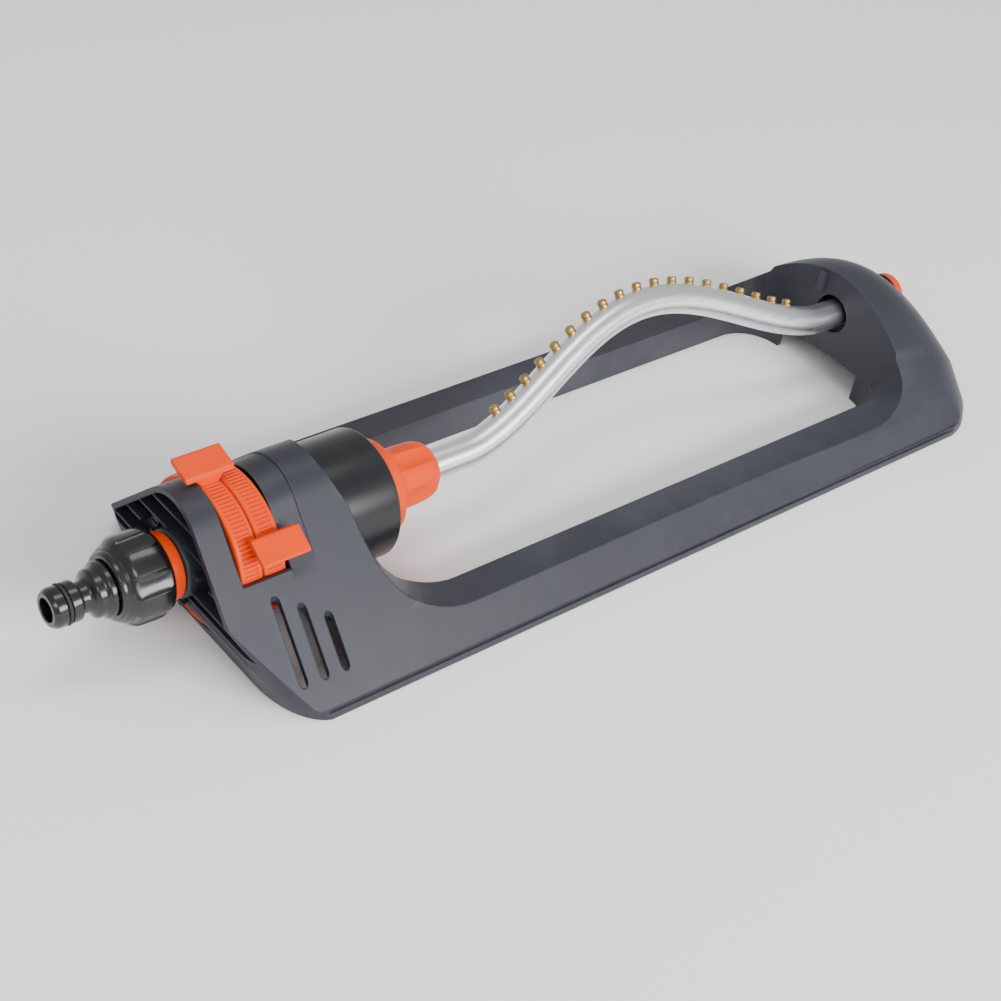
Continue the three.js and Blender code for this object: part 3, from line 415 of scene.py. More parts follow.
satin_tube = metal("satin_aluminium", (0.93, 0.94, 0.95), (0.72, 0.73, 0.75), 0.3, bump=0.06, tarnish=0.12)
brass = metal("turned_brass", (0.44, 0.29, 0.11), (0.26, 0.17, 0.06), 0.34, brush=(700, 700, 700), tarnish=0.5)
dark_steel = metal("blackened_steel", (0.05, 0.05, 0.055), (0.02, 0.02, 0.022), 0.4, tarnish=0.4)
steel = metal("bright_steel", (0.62, 0.62, 0.63), (0.4, 0.4, 0.41), 0.26, tarnish=0.2)
print("metals:", [m.name for m in (satin_tube, brass, dark_steel, steel)])

# %% [markdown]
# ## The sled frame
# One hollow moulding: flanks at about 45 degrees rise from an upright lip to an arch over the motor
# and a lower dome over the far bearing, and a scoop takes out everything between them down to the
# flat tops of the rails. It could be pushed and pulled from a cube, but its surfaces are simple ones
# that cross, so it is made the way its mould is: an outer body, less the scoop, less a smaller copy
# of itself, which leaves a wall of even thickness open underneath. The outer body is the part that
# two simple bodies share: one has the right cross-sections, the other has the right outline from above.

# %% Frame sizes
WALL, HALF, LIP, LEDGE = 2.6, 77.5, 3.6, 1.1  # wall, centre to lip, height and step of the lip
SLOPE = 1.042  # fall of the flank for each millimetre outwards
NEAR_CROWN, NEAR_ROUND, FAR_CROWN = 74.0, 21.6, 61.0  # tops of arch and dome, radius of the arch
NEAR_FOOT, NEAR_ARCH, ARCH_FROM = -82.0, -98.0, 37.0  # near end at the ground, and above ARCH_FROM
FAR_FOOT, FAR_WALL = 372.0, 311.0
RAIL_TOP, SHOULDER = 18.0, 64.5
OPEN_HALF, OPEN_NEAR, OPEN_CORNER, OPEN_FAR = 48.4, -8.0, 26.0, 22.0  # the opening and its corners
RECESS, INNER_NEAR = -88.6, -86.0  # floor of the inlet recess, and the inside of that wall
RING_OUT, RING_WIDE, RING_FRONT, RING_GAP = 34.0, 10.5, -63.0, 0.6
RING_BACK = RING_FRONT - 2 * RING_WIDE - RING_GAP
DRUM, BUSH_END, SLOT = 29.5, 350.3, 4.2
cosine = 1 / np.hypot(1, SLOPE)


def near_height(y, t=0.0):
    """Two flanks at one slope, joined by an arc of the crown radius; t sets the whole line inwards."""
    top, r = NEAR_CROWN - t, NEAR_ROUND - t
    meet = r * SLOPE * cosine
    a = np.abs(y)
    arc = top - r + np.sqrt(np.maximum(r * r - np.minimum(a, meet) ** 2, 0))
    line = top - r + r * cosine - (a - meet) * SLOPE
    return np.where(a < meet, arc, line)


def far_height(x, y, t=0.0):
    """A parabola across, times a rounded fall towards the far foot."""
    side = np.minimum(1, np.abs(y) / (HALF - 1.3 * t))
    reach = np.clip((x - FAR_WALL) / (FAR_FOOT - t - FAR_WALL), 0, 1)
    return (FAR_CROWN - t) * (1 - side**2) * np.sqrt(np.maximum(0, 1 - reach**2.3))


def flank_body(name, t):
    """Cross-sections along X: lip, a fine groove above it, flank and crown, mirrored. The height is
    (1 - s) near + s far, where s eases from 0 to 1 between the two arches; t sets it all inwards."""
    floor = -20.0 if t else 0.0
    dome = FAR_WALL + (FAR_FOOT - FAR_WALL) * np.sin(np.radians(np.linspace(0, 90, 26)))
    x = np.concatenate([[-130.0], np.arange(-105.0, FAR_WALL, 8.0), dome, [FAR_FOOT + 10]])
    s = np.clip((x - 200) / 90, 0, 1)
    s = (s * s * (3 - 2 * s))[:, None]
    spread = np.linspace(-1, 1, 81) * np.pi / 2 * 0.98
    y = (HALF - LEDGE - 0.7 - t * 1.2) * np.sin(spread) / np.sin(np.pi / 2 * 0.98)
    low = LIP + 0.4 - t * 0.5
    z = np.maximum((1 - s) * near_height(y, t) + s * far_height(x[:, None], y, t), low)
    half, lip = HALF - t, LIP - t * 0.5
    dip = 0.0 if t else 0.9
    side = np.array([[half, floor], [half, lip], [half - 0.5, lip + 0.1], [half - 0.7, lip - dip],
                     [half - 1.3, lip - dip]])
    ys = np.concatenate([-side[:, 0], y, side[::-1, 0]])
    loops = np.empty((len(x), len(ys), 3))
    loops[..., 0] = x[:, None]
    loops[..., 1] = ys
    loops[:, 5:-5, 2] = z
    loops[:, :5, 2] = side[:, 1]
    loops[:, -5:, 2] = side[::-1, 1]
    return skin(name, loops)


def plan_body(name, t):
    """Outlines seen from above, stacked in height: straight sides and ends, joined by quarters of an
    ellipse, x = cx + a cos(u) and y = cy + b sin(u). The near end leans out as it rises."""
    outer, inner = [-1.0, 6, 12, 18, 24, 30, 34, ARCH_FROM, 95], [-25.0, 0, 8, 16, 24, 30, ARCH_FROM, 95]
    z = np.array(inner if t else outer)[:, None]
    rise = np.clip(z / ARCH_FROM, 0, 1)
    near = NEAR_FOOT + (NEAR_ARCH - NEAR_FOOT) * rise + t
    near = np.maximum(near, INNER_NEAR) if t else near
    edge = np.maximum(20.0, HALF - np.maximum(0.0, z - LIP) / SLOPE) + 0.8 - t
    a, b = 20 - 18 * rise, 34 - 31 * rise
    far, far_a, far_b = FAR_FOOT - t, 40.0, np.minimum(38.0, edge - 2)
    u = np.radians(np.linspace(0, 90, 17))
    corners = [(far - far_a, edge - far_b, far_a, far_b, 0), (near + a, edge - b, a, b, 90),
               (near + a, b - edge, a, b, 180), (far - far_a, far_b - edge, far_a, far_b, 270)]
    parts = []
    for cx, cy, across, along, start in corners:
        v = u + np.radians(start)
        parts.append(np.stack(np.broadcast_arrays(cx + across * np.cos(v), cy + along * np.sin(v), z), -1))
    return skin(name, np.concatenate(parts, 1))


print("arch at the centre line", float(near_height(0.0)), "dome", float(far_height(FAR_WALL, 0.0)))

# %% [markdown]
# ## The scoop between the arches
# Seen from above, the frame is cut away between the motor and the far bearing, and the cut's sides
# are ruled surfaces: straight lines that leave the opening's edge at a slope. The slope is steep
# under the motor, turns through the near corners, is nearly flat along the rails, and stands upright
# at the far wall. A sculpted or subdivided surface would only come near those creases. Lines from
# edge to edge hit them, and growing the scoop by the wall's thickness gives the inside.

# %% Scoop
SCOOP_LOW, SCOOP_HIGH = -40.0, 130.0  # well below the ground and above the arch


def rulings(x, y, hx, hy, slope, reach, t):
    """Edge points (x, y) moved by t along their heading (hx, hy), and the far ends of the lines that
    leave them at the slope: out = edge + reach (heading cos(slope), sin(slope))."""
    x, y, hx, hy, slope, reach = np.broadcast_arrays(*np.atleast_1d(x, y, hx, hy, slope, reach))
    along, up = np.cos(np.radians(slope)), np.sin(np.radians(slope))
    z = RAIL_TOP - t * (1 - up) / np.maximum(along, 0.35)
    edge = np.stack([x + hx * t, y + hy * t, z], -1)
    return edge, edge + np.stack([hx * along * reach, hy * along * reach, up * reach], -1)


def far_corner(t):
    """Rulings from the opening's edge out through the crease: upright at the wall, flat at the rail.
    v runs from 0 at the wall to 1 at the rail, and each line goes 1.35 times as far as the crease."""
    v = (np.linspace(0, 1, 25) ** 1.6)[::-1]
    c, s = np.cos(v * np.pi / 2), np.sin(v * np.pi / 2)
    cx, cy = FAR_WALL - OPEN_FAR, OPEN_HALF - OPEN_FAR
    edge = np.stack([cx + (OPEN_FAR + t) * c, cy + (OPEN_FAR + t) * s, RAIL_TOP - 1.05 * t * v], -1)
    crease_x, crease_y = FAR_WALL + 5 * v - 30 * v**5, cy + (SHOULDER - cy) * v**0.45
    crease_z = far_height(crease_x, crease_y) * (1 - v**8) + (RAIL_TOP - 1.1) * v**8
    lean = np.stack([c, 1.3 * c * s, -s], -1)
    lean *= t / np.linalg.norm(lean, axis=1)[:, None]
    return edge, edge + 1.35 * (np.stack([crease_x, crease_y, crease_z], -1) + lean - edge)


def scoop_body(name, t):
    """Four loops: below ground, at the rail top, out past the flank along the rulings, and up. One
    side is worked out and mirrored; t grows the scoop into the frame."""
    u = np.linspace(0, 90, 31)
    c, s = np.cos(np.radians(u)), np.sin(np.radians(u))
    slope = np.where(u < 45, 65 - (u / 45) ** 1.6 * 41, 24 - 28 * np.sin(np.radians((u - 45) * 2)))
    near = rulings(OPEN_NEAR + OPEN_CORNER * (1 - c), OPEN_HALF - OPEN_CORNER * (1 - s), -c, s, slope,
                   np.where(u < 20, 70, 58), t)
    rail = rulings(np.linspace(40, 280, 13), OPEN_HALF, 0, 1, -4, 45, t)
    middle = np.stack(rulings(FAR_WALL, 0, 1, 0, 90, 60, t))
    half = np.concatenate([np.stack(near), np.stack(rail), np.stack(far_corner(t))], 1)
    edge, out = np.concatenate([half, middle, half[:, ::-1] * [1, -1, 1]], 1)
    low, top = edge.copy(), out.copy()
    low[:, 2], top[:, 2] = SCOOP_LOW, SCOOP_HIGH
    return skin(name, [low, edge, out, top])


print("rulings on one far corner:", len(far_corner(0.0)[0]))

# %% [markdown]
# ## Cutting and joining
# A mould maker adds and removes simple solids, and booleans do the same. They could stay as live
# modifiers, but then each render would work them out again and the cutters would have to be kept.
# Here each result is written into the mesh at once. Every cutter runs past the surface that it cuts,
# because faces that only just touch are what makes a boolean fail.

# %% Cutting and joining
def combine(target, operation, cutters):
    """Boolean of the target with each cutter, applied to the mesh; the cutters are removed."""
    for cutter in cutters:
        step = target.modifiers.new("step", "BOOLEAN")
        step.operation = operation
        step.object = cutter
        step.solver = "MANIFOLD"
    ready = target.evaluated_get(bpy.context.evaluated_depsgraph_get())
    mesh = bpy.data.meshes.new_from_object(ready)
    target.modifiers.clear()
    old = target.data
    target.data = mesh
    bpy.data.meshes.remove(old)
    for cutter in cutters:
        bpy.data.objects.remove(cutter)
    return target


def prism(name, outline, low, high, axis="x"):
    """A flat outline pushed along one axis. For x the outline is (y, z), for y it is (x, z)."""
    o = np.asarray(outline, float)
    ends = []
    for value in (low, high):
        v = np.full(len(o), value)
        ends.append(np.stack([v, o[:, 0], o[:, 1]] if axis == "x" else [o[:, 0], v, o[:, 1]], -1))
    return skin(name, ends)


def disc(radius, low, high, y=0.0, z=None, count=96):
    """A round bar along X, on the swing axis unless y and z say otherwise."""
    a = np.linspace(0, 2 * np.pi, count, endpoint=False)
    z = AXIS_Z if z is None else z
    return prism("disc", np.stack([y + radius * np.cos(a), z + radius * np.sin(a)], -1), low, high)


def brick(x0, x1, y0, y1, z0, z1, round_by=0.0):
    """A block along Y whose X-Z outline can be rounded."""
    outline = [(x0, z0), (x1, z0), (x1, z1), (x0, z1)]
    return prism("brick", rounded(outline, round_by) if round_by else outline, y0, y1, axis="y")


def frame_solid(t):
    """The frame without its hollow: what the two outer bodies share, less the scoop."""
    body = flank_body("solid", t)
    combine(body, "INTERSECT", [plan_body("plan", t)])
    return combine(body, "DIFFERENCE", [scoop_body("scoop", t)])


sled = frame_solid(0.0)
combine(sled, "DIFFERENCE", [frame_solid(WALL)])
print("frame shell:", len(sled.data.polygons), "faces")

# %% [markdown]
# ## Inlet recess, slats and bearing bosses
# Behind the hose inlet the arch is sunk in to a back wall, with five thin slats across to stiffen it,
# and a round hub holds the inlet. At the far end a boss carries the tube's bush, and a small rib
# stands beside its hole. The slats are cut to the recess's own outline, so that they meet its wall
# everywhere, then joined in one step.

# %% Recess and bosses
def recess_outline(t):
    """The arch's section set in by t, cut off flat just above the rails' height."""
    y = np.linspace(-62, 62, 121)
    z = near_height(y, t)
    keep = z > 17.5
    y, z = y[keep], z[keep]
    return np.concatenate([[(y[0], 15.5)], np.stack([y, z], -1), [(y[-1], 15.5)]])


combine(sled, "DIFFERENCE", [prism("recess", recess_outline(WALL), NEAR_ARCH - 5, RECESS)])
slats = []
for i in range(5):
    z = 22 + i * 9.6
    slat = brick(NEAR_ARCH + 2.5, RECESS + 0.5, -60, 60, z, z + 1.3, 0.5)
    combine(slat, "INTERSECT", [prism("inside", recess_outline(WALL - 0.6), NEAR_ARCH, RECESS + 1)])
    combine(slat, "INTERSECT", [plan_body("plan", 0.0)])
    combine(slat, "DIFFERENCE", [disc(14.2, NEAR_ARCH - 1, RECESS + 2)])
    slats.append(slat)
combine(sled, "UNION", slats)
hub = turned("hub", [(NEAR_ARCH, 0), (NEAR_ARCH, 14.4), (NEAR_ARCH + 1.0, 15.2), (RECESS + 0.5, 15.6),
                     (RECESS + 0.5, 0)], 0.5)
boss = turned("boss", [(BUSH_END - 10, 0), (BUSH_END - 10, 14.5), (FAR_FOOT - 8, 14.5), (FAR_FOOT - 8, 0)], 0.8)
combine(boss, "INTERSECT", [flank_body("dome", 0.0)])
rib = brick(308.2, 311.5, 9.5, 13, AXIS_Z + 8.5, AXIS_Z + 20, 0.5)
combine(sled, "UNION", [hub, boss, rib])
print("with slats and bosses:", len(sled.data.polygons), "faces")

# %% [markdown]
# ## Window, bores and slots
# The drum passes through a round bore, the range rings turn in a wider one that breaks out through
# the flanks, and a window lets their thumb tabs through the crown. In front of the window the arch
# is sunk in by a step that fades out to the sides. Three slots low on each flank let water drain and
# air in. All of them are cut in one step, because each cut costs a pass over the mesh.

# %% Openings
cutters = [disc(9.9, NEAR_ARCH - 5, INNER_NEAR + 3), disc(10.3, 307, 377), disc(12.6, BUSH_END, 377)]
cutters.append(brick(FAR_WALL - 2, FAR_WALL + WALL + 0.4, -27, 27, -1, 15))
cutters.append(disc(DRUM + 0.6, INNER_NEAR + 0.5, 20))
cutters.append(disc(RING_OUT + 0.7, RING_BACK - 0.9, RING_FRONT + 1.2))
cutters.append(brick(RING_BACK - 0.9, RING_FRONT + 1.2, -37, 37, AXIS_Z + 9, AXIS_Z + 46))
STEP_HALF = 38.2


def window_step():
    """Two sections of the arch, sunk by depth x (1 - (y / half)^4), with a block's top above them."""
    y = np.linspace(-STEP_HALF, STEP_HALF, 81)
    fade = 1 - (y / STEP_HALF) ** 4
    loops = []
    for x, depth in ((RING_FRONT + 1.1, 2.4), (RING_FRONT + 13, 1.0)):
        bottom = np.stack([np.full_like(y, x), y, near_height(y) + 0.3 - depth * fade], -1)
        above = [[x, STEP_HALF, AXIS_Z + 50], [x, -STEP_HALF, AXIS_Z + 50]]
        loops.append(np.concatenate([bottom, above]))
    return skin("step", loops)


def slot_cutter(x, inner, outer, side):
    """An upright block with a long outline seen from above: two half circles and straight sides."""
    a, r = np.linspace(0, np.pi, 9), SLOT / 2
    arc = np.concatenate([np.stack([x + r * np.cos(a), outer - r + r * np.sin(a)], -1),
                          np.stack([x - r * np.cos(a), inner + r - r * np.sin(a)], -1)]) * [1, side]
    return skin("slot", [np.column_stack([arc, np.full(len(arc), h)]) for h in (9.0, 58.0)])


cutters.append(window_step())
for x, inner, outer in ((-74, 40, 67.5), (-63.5, 44.5, 67.5), (-53, 49.5, 67.5)):
    cutters += [slot_cutter(x, inner, outer, -1), slot_cutter(x, inner, outer, 1)]
SCREWS = 22  # radius of the circle that the three housing screws stand on
for turn in (80, 180, 280):
    y, z = -SCREWS * np.sin(np.radians(turn)), AXIS_Z + SCREWS * np.cos(np.radians(turn))
    cutters += [disc(2.1, RECESS - 3, INNER_NEAR + 2, y, z, 32), disc(3.8, NEAR_ARCH - 1, RECESS, y, z, 32)]
combine(sled, "DIFFERENCE", cutters)
sled.name = "sled_frame_shell"
shade(sled, 28)
dress(sled, "chassis", slate, "sled_frame", slot="frame_plastic")

# %% [markdown]
# ## The drum
# The water motor sits in a round cup, pushed into the arch from the front. Only its front shows, with
# a rim rounded on the outside and a shallow step inside it. A cylinder primitive with bevels would
# come close, but one turned profile gives each corner its own radius, and so the right highlights.

# %% Drum
drum = turned("drum_cup", [
    (-85.5, 27.3), (-12, 27.3), (-12, 11.5), (-12, 9), (-1.2, 9), (-1.2, 26.9), (0, 27.6), (0, 28.7),
    (-0.9, DRUM), (-85.5, DRUM)], [0.3, 0.3, 0.1, 0.3, 0.3, 0.6, 0.3, 0.4, 0.5, 0.3], segments=160)
dress(drum, "chassis", charcoal, "drive_housing", slot="housing_plastic")
print("drum faces", len(drum.data.polygons))

# %% [markdown]
# ## Range rings
# Two rings turn round the motor and set how far the tube swings to each side. Each is a knurled hoop
# with a thumb tab. The ribs could be hundreds of small blocks. Here the knurl is a ripple of the
# hoop's radius that fades out before the shoulders, so it stays part of one closed surface.

# %% Rings
def ring_hoop(name, x0, ribs=112, per_rib=10):
    """Radius = profile radius - depth x ripple x weight; the ripple is a clipped cosine round the
    hoop, the weight is 1 on the knurled band and 0 on the shoulders."""
    w = RING_WIDE
    band = rounded([(x0, 29.8), (x0, RING_OUT - 0.9), (x0 + 0.5, RING_OUT - 0.3), (x0 + 1.9, RING_OUT - 0.2),
                    (x0 + 2.2, RING_OUT), (x0 + w - 2.2, RING_OUT), (x0 + w - 1.9, RING_OUT - 0.2),
                    (x0 + w - 0.5, RING_OUT - 0.3), (x0 + w, RING_OUT - 0.9), (x0 + w, 29.8)], 0.3, 3)
    turn = np.linspace(0, 2 * np.pi, ribs * per_rib, endpoint=False)
    ripple = np.clip(1.5 * np.cos(turn * ribs) + 0.2, 0, 1)
    weight = np.clip((band[:, 1] - (RING_OUT - 0.15)) / 0.1, 0, 1)
    r = band[:, 1:] - 0.8 * weight[:, None] * ripple
    return torus_skin(name, spun_grid(band, r, turn), 50)


def tilted(points, angle):
    """Turn round the swing axis by an angle in degrees; positive brings the top to the front."""
    c, s = np.cos(np.radians(angle)), np.sin(np.radians(angle))
    y, z = points[..., 1], points[..., 2] - AXIS_Z
    return np.stack([points[..., 0], y * c - z * s, AXIS_Z + y * s + z * c], -1)


def ring_tab(name, x0, lean):
    """A flap and its neck in cross-section, pushed along the axis, then turned to their angle round it.
    The neck's half length grows in step with its height, so it spreads into a gusset under the flap."""
    mid = x0 + RING_WIDE / 2
    flap = rounded([(-2.4, 3.2), (3, 5.0), (9.6, 7.8), (9.8, 9.4), (8.9, 9.8), (2.5, 7.1), (-1.9, 5.7)],
                   [0.6, 4, 0.5, 0.6, 0.6, 4, 0.8], 5)
    neck = rounded([(-2.2, -1.4), (2.2, -1.4), (2.2, 4.8), (-1.4, 4.8)], 0.3, 3)
    inset = 0.7  # how far from its ends the flap starts to round off
    pieces = []
    for outline, half, squeeze, gusset in ((flap, 11.5, 0.5, 0.0), (neck, 4.0, 1.0, 0.24)):
        o = outline * [-1 if lean > 0 else 1, 1] + [0, RING_OUT]
        centre = o.mean(0)
        dx = np.array([-half, -half + inset * 0.3, -half + inset, half - inset, half - inset * 0.3, half])
        scale = np.array([0.86, 0.95, 1, 1, 0.95, 0.86])[:, None]
        across = centre[0] + (o[:, 0] - centre[0]) * (1 - squeeze + squeeze * scale)
        height = centre[1] + (o[:, 1] - centre[1]) * scale
        x = mid + dx[:, None] * (1 + gusset * (height - RING_OUT))
        pieces.append(skin(name, tilted(np.stack([x, across, AXIS_Z + height], -1), lean), 45))
    return combine(pieces[0], "UNION", [pieces[1]])


for where, x0, lean, body in (("front", RING_FRONT - RING_WIDE, 50, "front_range_ring"),
                              ("rear", RING_BACK, -6, "rear_range_ring")):
    hoop = ring_hoop(f"range_hoop_{where}", x0)
    dress(hoop, body, orange, f"range_ring_{where}", slot="orange_plastic")
    tab = ring_tab(f"thumb_tab_{where}", x0, lean)
    shade(tab, 40)
    dress(tab, body, orange, slot="orange_plastic")
    print(hoop.name, len(hoop.data.polygons), "faces;", tab.name, len(tab.data.polygons))

# %% [markdown]
# ## Spray tube
# A bent aluminium tube: a circle carried along a smooth bell-shaped centre line, in a plane that leans
# back at rest. A curve object with a round bevel could draw it, but it would have to be made a mesh
# and capped. Rows of circles square to the centre line, out along the outside and back along the
# bore, close on themselves and leave a wall of even thickness with open ends.

# %% Tube path
TUBE_R, TUBE_WALL, TUBE_RISE, RISE_FROM, RISE_TO = 7.5, 1.2, 38.3, 58.0, 302.0
REST_TILT = -33.0


def tube_lift(x):
    """A cosine bell raised to a power a little under one, zero outside the bent part."""
    s = np.clip((np.asarray(x, float) - RISE_FROM) / (RISE_TO - RISE_FROM), 0, 1)
    return TUBE_RISE * (0.5 - 0.5 * np.cos(2 * np.pi * s)) ** 0.86


x = np.linspace(12, 350, 260)
centre = np.stack([x, np.zeros_like(x), AXIS_Z + tube_lift(x)], -1)
along = np.gradient(centre, axis=0)
along /= np.linalg.norm(along, axis=1)[:, None]
side = np.array([0.0, 1.0, 0.0])
normal = np.cross(side, along)
turn = np.linspace(0, 2 * np.pi, 64, endpoint=False)


def tube_rows(radius):
    """Circles round the centre line: centre + r (normal cos(turn) + side sin(turn))."""
    round_by = np.cos(turn)[:, None] * normal[:, None] + np.sin(turn)[:, None] * side
    return centre[:, None] + radius * round_by


outer, inner = tube_rows(TUBE_R), tube_rows(TUBE_R - TUBE_WALL)
tube = torus_skin("bent_tube", tilted(np.concatenate([outer, inner[::-1]]), REST_TILT), 40)
dress(tube, "spray_arm", satin_tube, "spray_tube", slot="tube_metal")
print("tube faces", len(tube.data.polygons))

# %% [markdown]
# ## Nozzles
# Nineteen small turned brass jets are pressed into the tube, square to it, with a drilled face and a
# knurled waist. One jet could be instanced, but each is a piece of its own in the CAD model, so each
# gets a small closed mesh: the same profile, spun round the tube's upward direction at its place.

# %% Nozzles
NOZZLES, PITCH = 19, 10.7
middle = (RISE_FROM + RISE_TO) / 2
jet = rounded([(0.6, 6.0), (2.4, 6.0), (2.4, 8.2), (2.05, 8.5), (2.4, 8.9), (2.4, 10.1), (1.8, 10.7),
               (1.0, 10.7), (0.6, 10.0)], 0.2, 3)
spin = np.linspace(0, 2 * np.pi, 32, endpoint=False)
for i in range(NOZZLES):
    px = middle + (i - (NOZZLES - 1) / 2) * PITCH
    rise = tube_lift(px + 0.5) - tube_lift(px - 0.5)
    up = np.array([-rise, 0, 1]) / np.hypot(rise, 1)
    fore = np.array([1, 0, rise]) / np.hypot(rise, 1)
    base = np.array([px, 0, AXIS_Z + float(tube_lift(px))])
    knurl = 1 - 0.04 * (np.cos(spin * 16) > 0)
    r = jet[:, :1] * np.where((jet[:, 1:] > 8.95) & (jet[:, 1:] < 10.05), knurl, 1.0)
    grid = base + r[..., None] * (np.cos(spin)[None, :, None] * fore + np.sin(spin)[None, :, None] * side)
    grid = grid + jet[:, 1][:, None, None] * up
    piece = torus_skin(f"jet_{i + 1:02d}", tilted(grid, REST_TILT), 40)
    dress(piece, "spray_arm", brass, f"nozzle_{i + 1:02d}", slot="nozzle_brass")
print("jets:", NOZZLES, "with", len(piece.data.polygons), "faces each")

# %% [markdown]
# ## Collar
# The orange collar couples the tube to the motor: a thin flange against the drum and a grip with soft
# lobes that melt into a round nose. The lobes could be cut with five round cutters, but their soft
# ends would be hard to get. As a dip in the radius with a weight for each row of the profile, they
# fade in and out, and the flutes of the hose nut come from the same function.

# %% Collar
def lobed(name, outline, lobes, depth, power, bore):
    """Radius = profile radius - depth x weight x max(0, -cos(lobes x turn))^power. The outline has
    (x, r, weight) rows, and the bore has plain (x, r) rows that lead back."""
    outline, bore = np.asarray(outline, float), np.asarray(bore, float)
    turn = np.linspace(0, 2 * np.pi, 240, endpoint=False)
    dip = np.maximum(0, -np.cos(lobes * turn)) ** power
    outside = spun_grid(outline, outline[:, 1:2] - depth * outline[:, 2:3] * dip, turn)
    return torus_skin(name, np.concatenate([outside, spun_grid(bore, bore[:, 1:], turn)]), 40)


collar = lobed("tube_collar_grip", [
    (1, 19.2, 0), (1.3, 20.6, 0), (2.4, 22, 0), (7.2, 22, 0), (8.6, 21.6, 0), (10, 20, 0), (11, 18, 0),
    (12, 16.4, 0.1), (13.2, 15.3, 0.35), (15, 14.6, 0.75), (18, 14.3, 1), (24, 14.1, 1), (29, 13.8, 0.9),
    (32.4, 13.2, 0.6), (34.6, 12.2, 0.3), (36.2, 10.7, 0.1), (37, 9.3, 0), (37, 8.4, 0)],
    5, 2.0, 0.8, [(36.6, 7.8), (11.7, 7.8), (11.7, 6.3), (1, 6.3)])
dress(collar, "spray_arm", orange, "tube_collar", slot="orange_plastic")
print("collar faces", len(collar.data.polygons))

# %% [markdown]
# ## Hose coupling
# The inlet is an orange threaded stub, a black nut with wide grip flutes and a push-fit nose with its
# sealing ring. A hose connector clicks over the nose's collar, and the nut draws the nose against
# the stub's washer. All of it is round, so profiles are spun, and the nut adds flutes the same way
# as the collar. The nose has a radius for each corner, because light runs along every step of it.

# %% Inlet pieces
stub = turned("inlet_stub", [
    (-81.5, 6.6), (-81.5, 9.6), (-98.3, 9.6), (-98.3, 14.2), (-98.9, 14.8), (-103.1, 14.8), (-103.7, 14.2),
    (-103.7, 12), (-117.5, 12), (-118.2, 11.3), (-118.2, 6.6)], 0.35, 120)
dress(stub, "chassis", orange, "inlet_spigot", slot="orange_plastic")
nut = lobed("fluted_nut", [
    (-104.3, 13.6, 0), (-104.3, 16.4, 0), (-104.7, 17.3, 0), (-105.4, 18.2, 0.2), (-106.4, 18.9, 0.6),
    (-108, 19.25, 1), (-112, 19.3, 1), (-117, 19.2, 1), (-119.6, 18.9, 0.9), (-121, 18.3, 0.6),
    (-122.2, 17.2, 0.25), (-123, 16.3, 0), (-123.3, 16.0, 0), (-124.2, 15.9, 0), (-124.5, 15.6, 0),
    (-124.8, 14.9, 0), (-126.2, 14.7, 0), (-126.8, 14.2, 0), (-127, 13.4, 0), (-127, 10.4, 0)],
    6, 1.9, 0.55, [(-126.6, 9.4), (-123.2, 9.4), (-123.2, 12.3), (-104.6, 12.3)])
dress(nut, "hose_coupling_nut", black, "coupling_nut", slot="coupling_plastic")
nose = turned("push_fit_nose", [
    (-120.9, 5.2), (-120.9, 11.8), (-122.9, 11.8), (-122.9, 9.1), (-127.6, 9.1), (-127.6, 12.2), (-129.8, 12.2),
    (-131.4, 10.4), (-134.5, 10.4), (-136.5, 6.8), (-140.5, 6.8), (-141.2, 8.6), (-145.4, 8.6), (-145.4, 7),
    (-147.8, 7), (-147.8, 8.6), (-151.4, 8.6), (-153.5, 7.2), (-153.5, 5.2)],
    [0.2, 0.3, 0.2, 0.2, 0.3, 0.5, 0.8, 1.2, 1.2, 1.4, 1.0, 0.5, 0.3, 0.2, 0.2, 0.3, 0.8, 0.5, 0.3],
    segments=120, steps=5)
dress(nose, "chassis", black, "hose_nipple", slot="coupling_plastic")
print("inlet pieces", len(stub.data.polygons), len(nut.data.polygons), len(nose.data.polygons))

# %% [markdown]
# ## Far bearing
# At the far end the tube turns in a flanged bush that stays in the frame, and an orange plug closes
# the tube and turns with it. They ride on different bodies, so they are two pieces with a gap
# between them, both spun from profiles that start at the bush's outer end.

# %% Plug and bush
plug = turned("tube_end_plug", [
    (336, 0), (336, 5.2), (337, 6.0), (342, 6.0), (342, 4.6), (344.6, 4.6), (344.6, 6.0), (BUSH_END, 6.0),
    (BUSH_END, 7.2), (BUSH_END + 1.7, 7.2), (BUSH_END + 1.7, 11), (BUSH_END + 6.4, 11), (BUSH_END + 8, 9.4),
    (BUSH_END + 8, 4.8), (BUSH_END + 9.5, 4.2), (BUSH_END + 9.5, 0)], 0.7)
dress(plug, "spray_arm", orange, "end_plug", slot="orange_plastic")
bush = turned("far_bush", [
    (337, 7.6), (337, 10), (BUSH_END + 0.2, 10), (BUSH_END + 0.2, 11.8), (BUSH_END + 1.4, 11.8),
    (BUSH_END + 1.4, 7.6)], 0.3)
dress(bush, "chassis", charcoal, "end_bearing", slot="housing_plastic")
print("plug and bush faces", len(plug.data.polygons), len(bush.data.polygons))

# %% [markdown]
# ## Hidden works
# Inside the drum a turbine drives gears between two plates, and a lever reverses the swing. These
# pieces could be made again like the others, but they are closed in, so the gears, plates, pins and
# seals keep their CAD shapes and only take a finish: white nylon for what runs in water, steel for
# the pins, rubber for the seals.

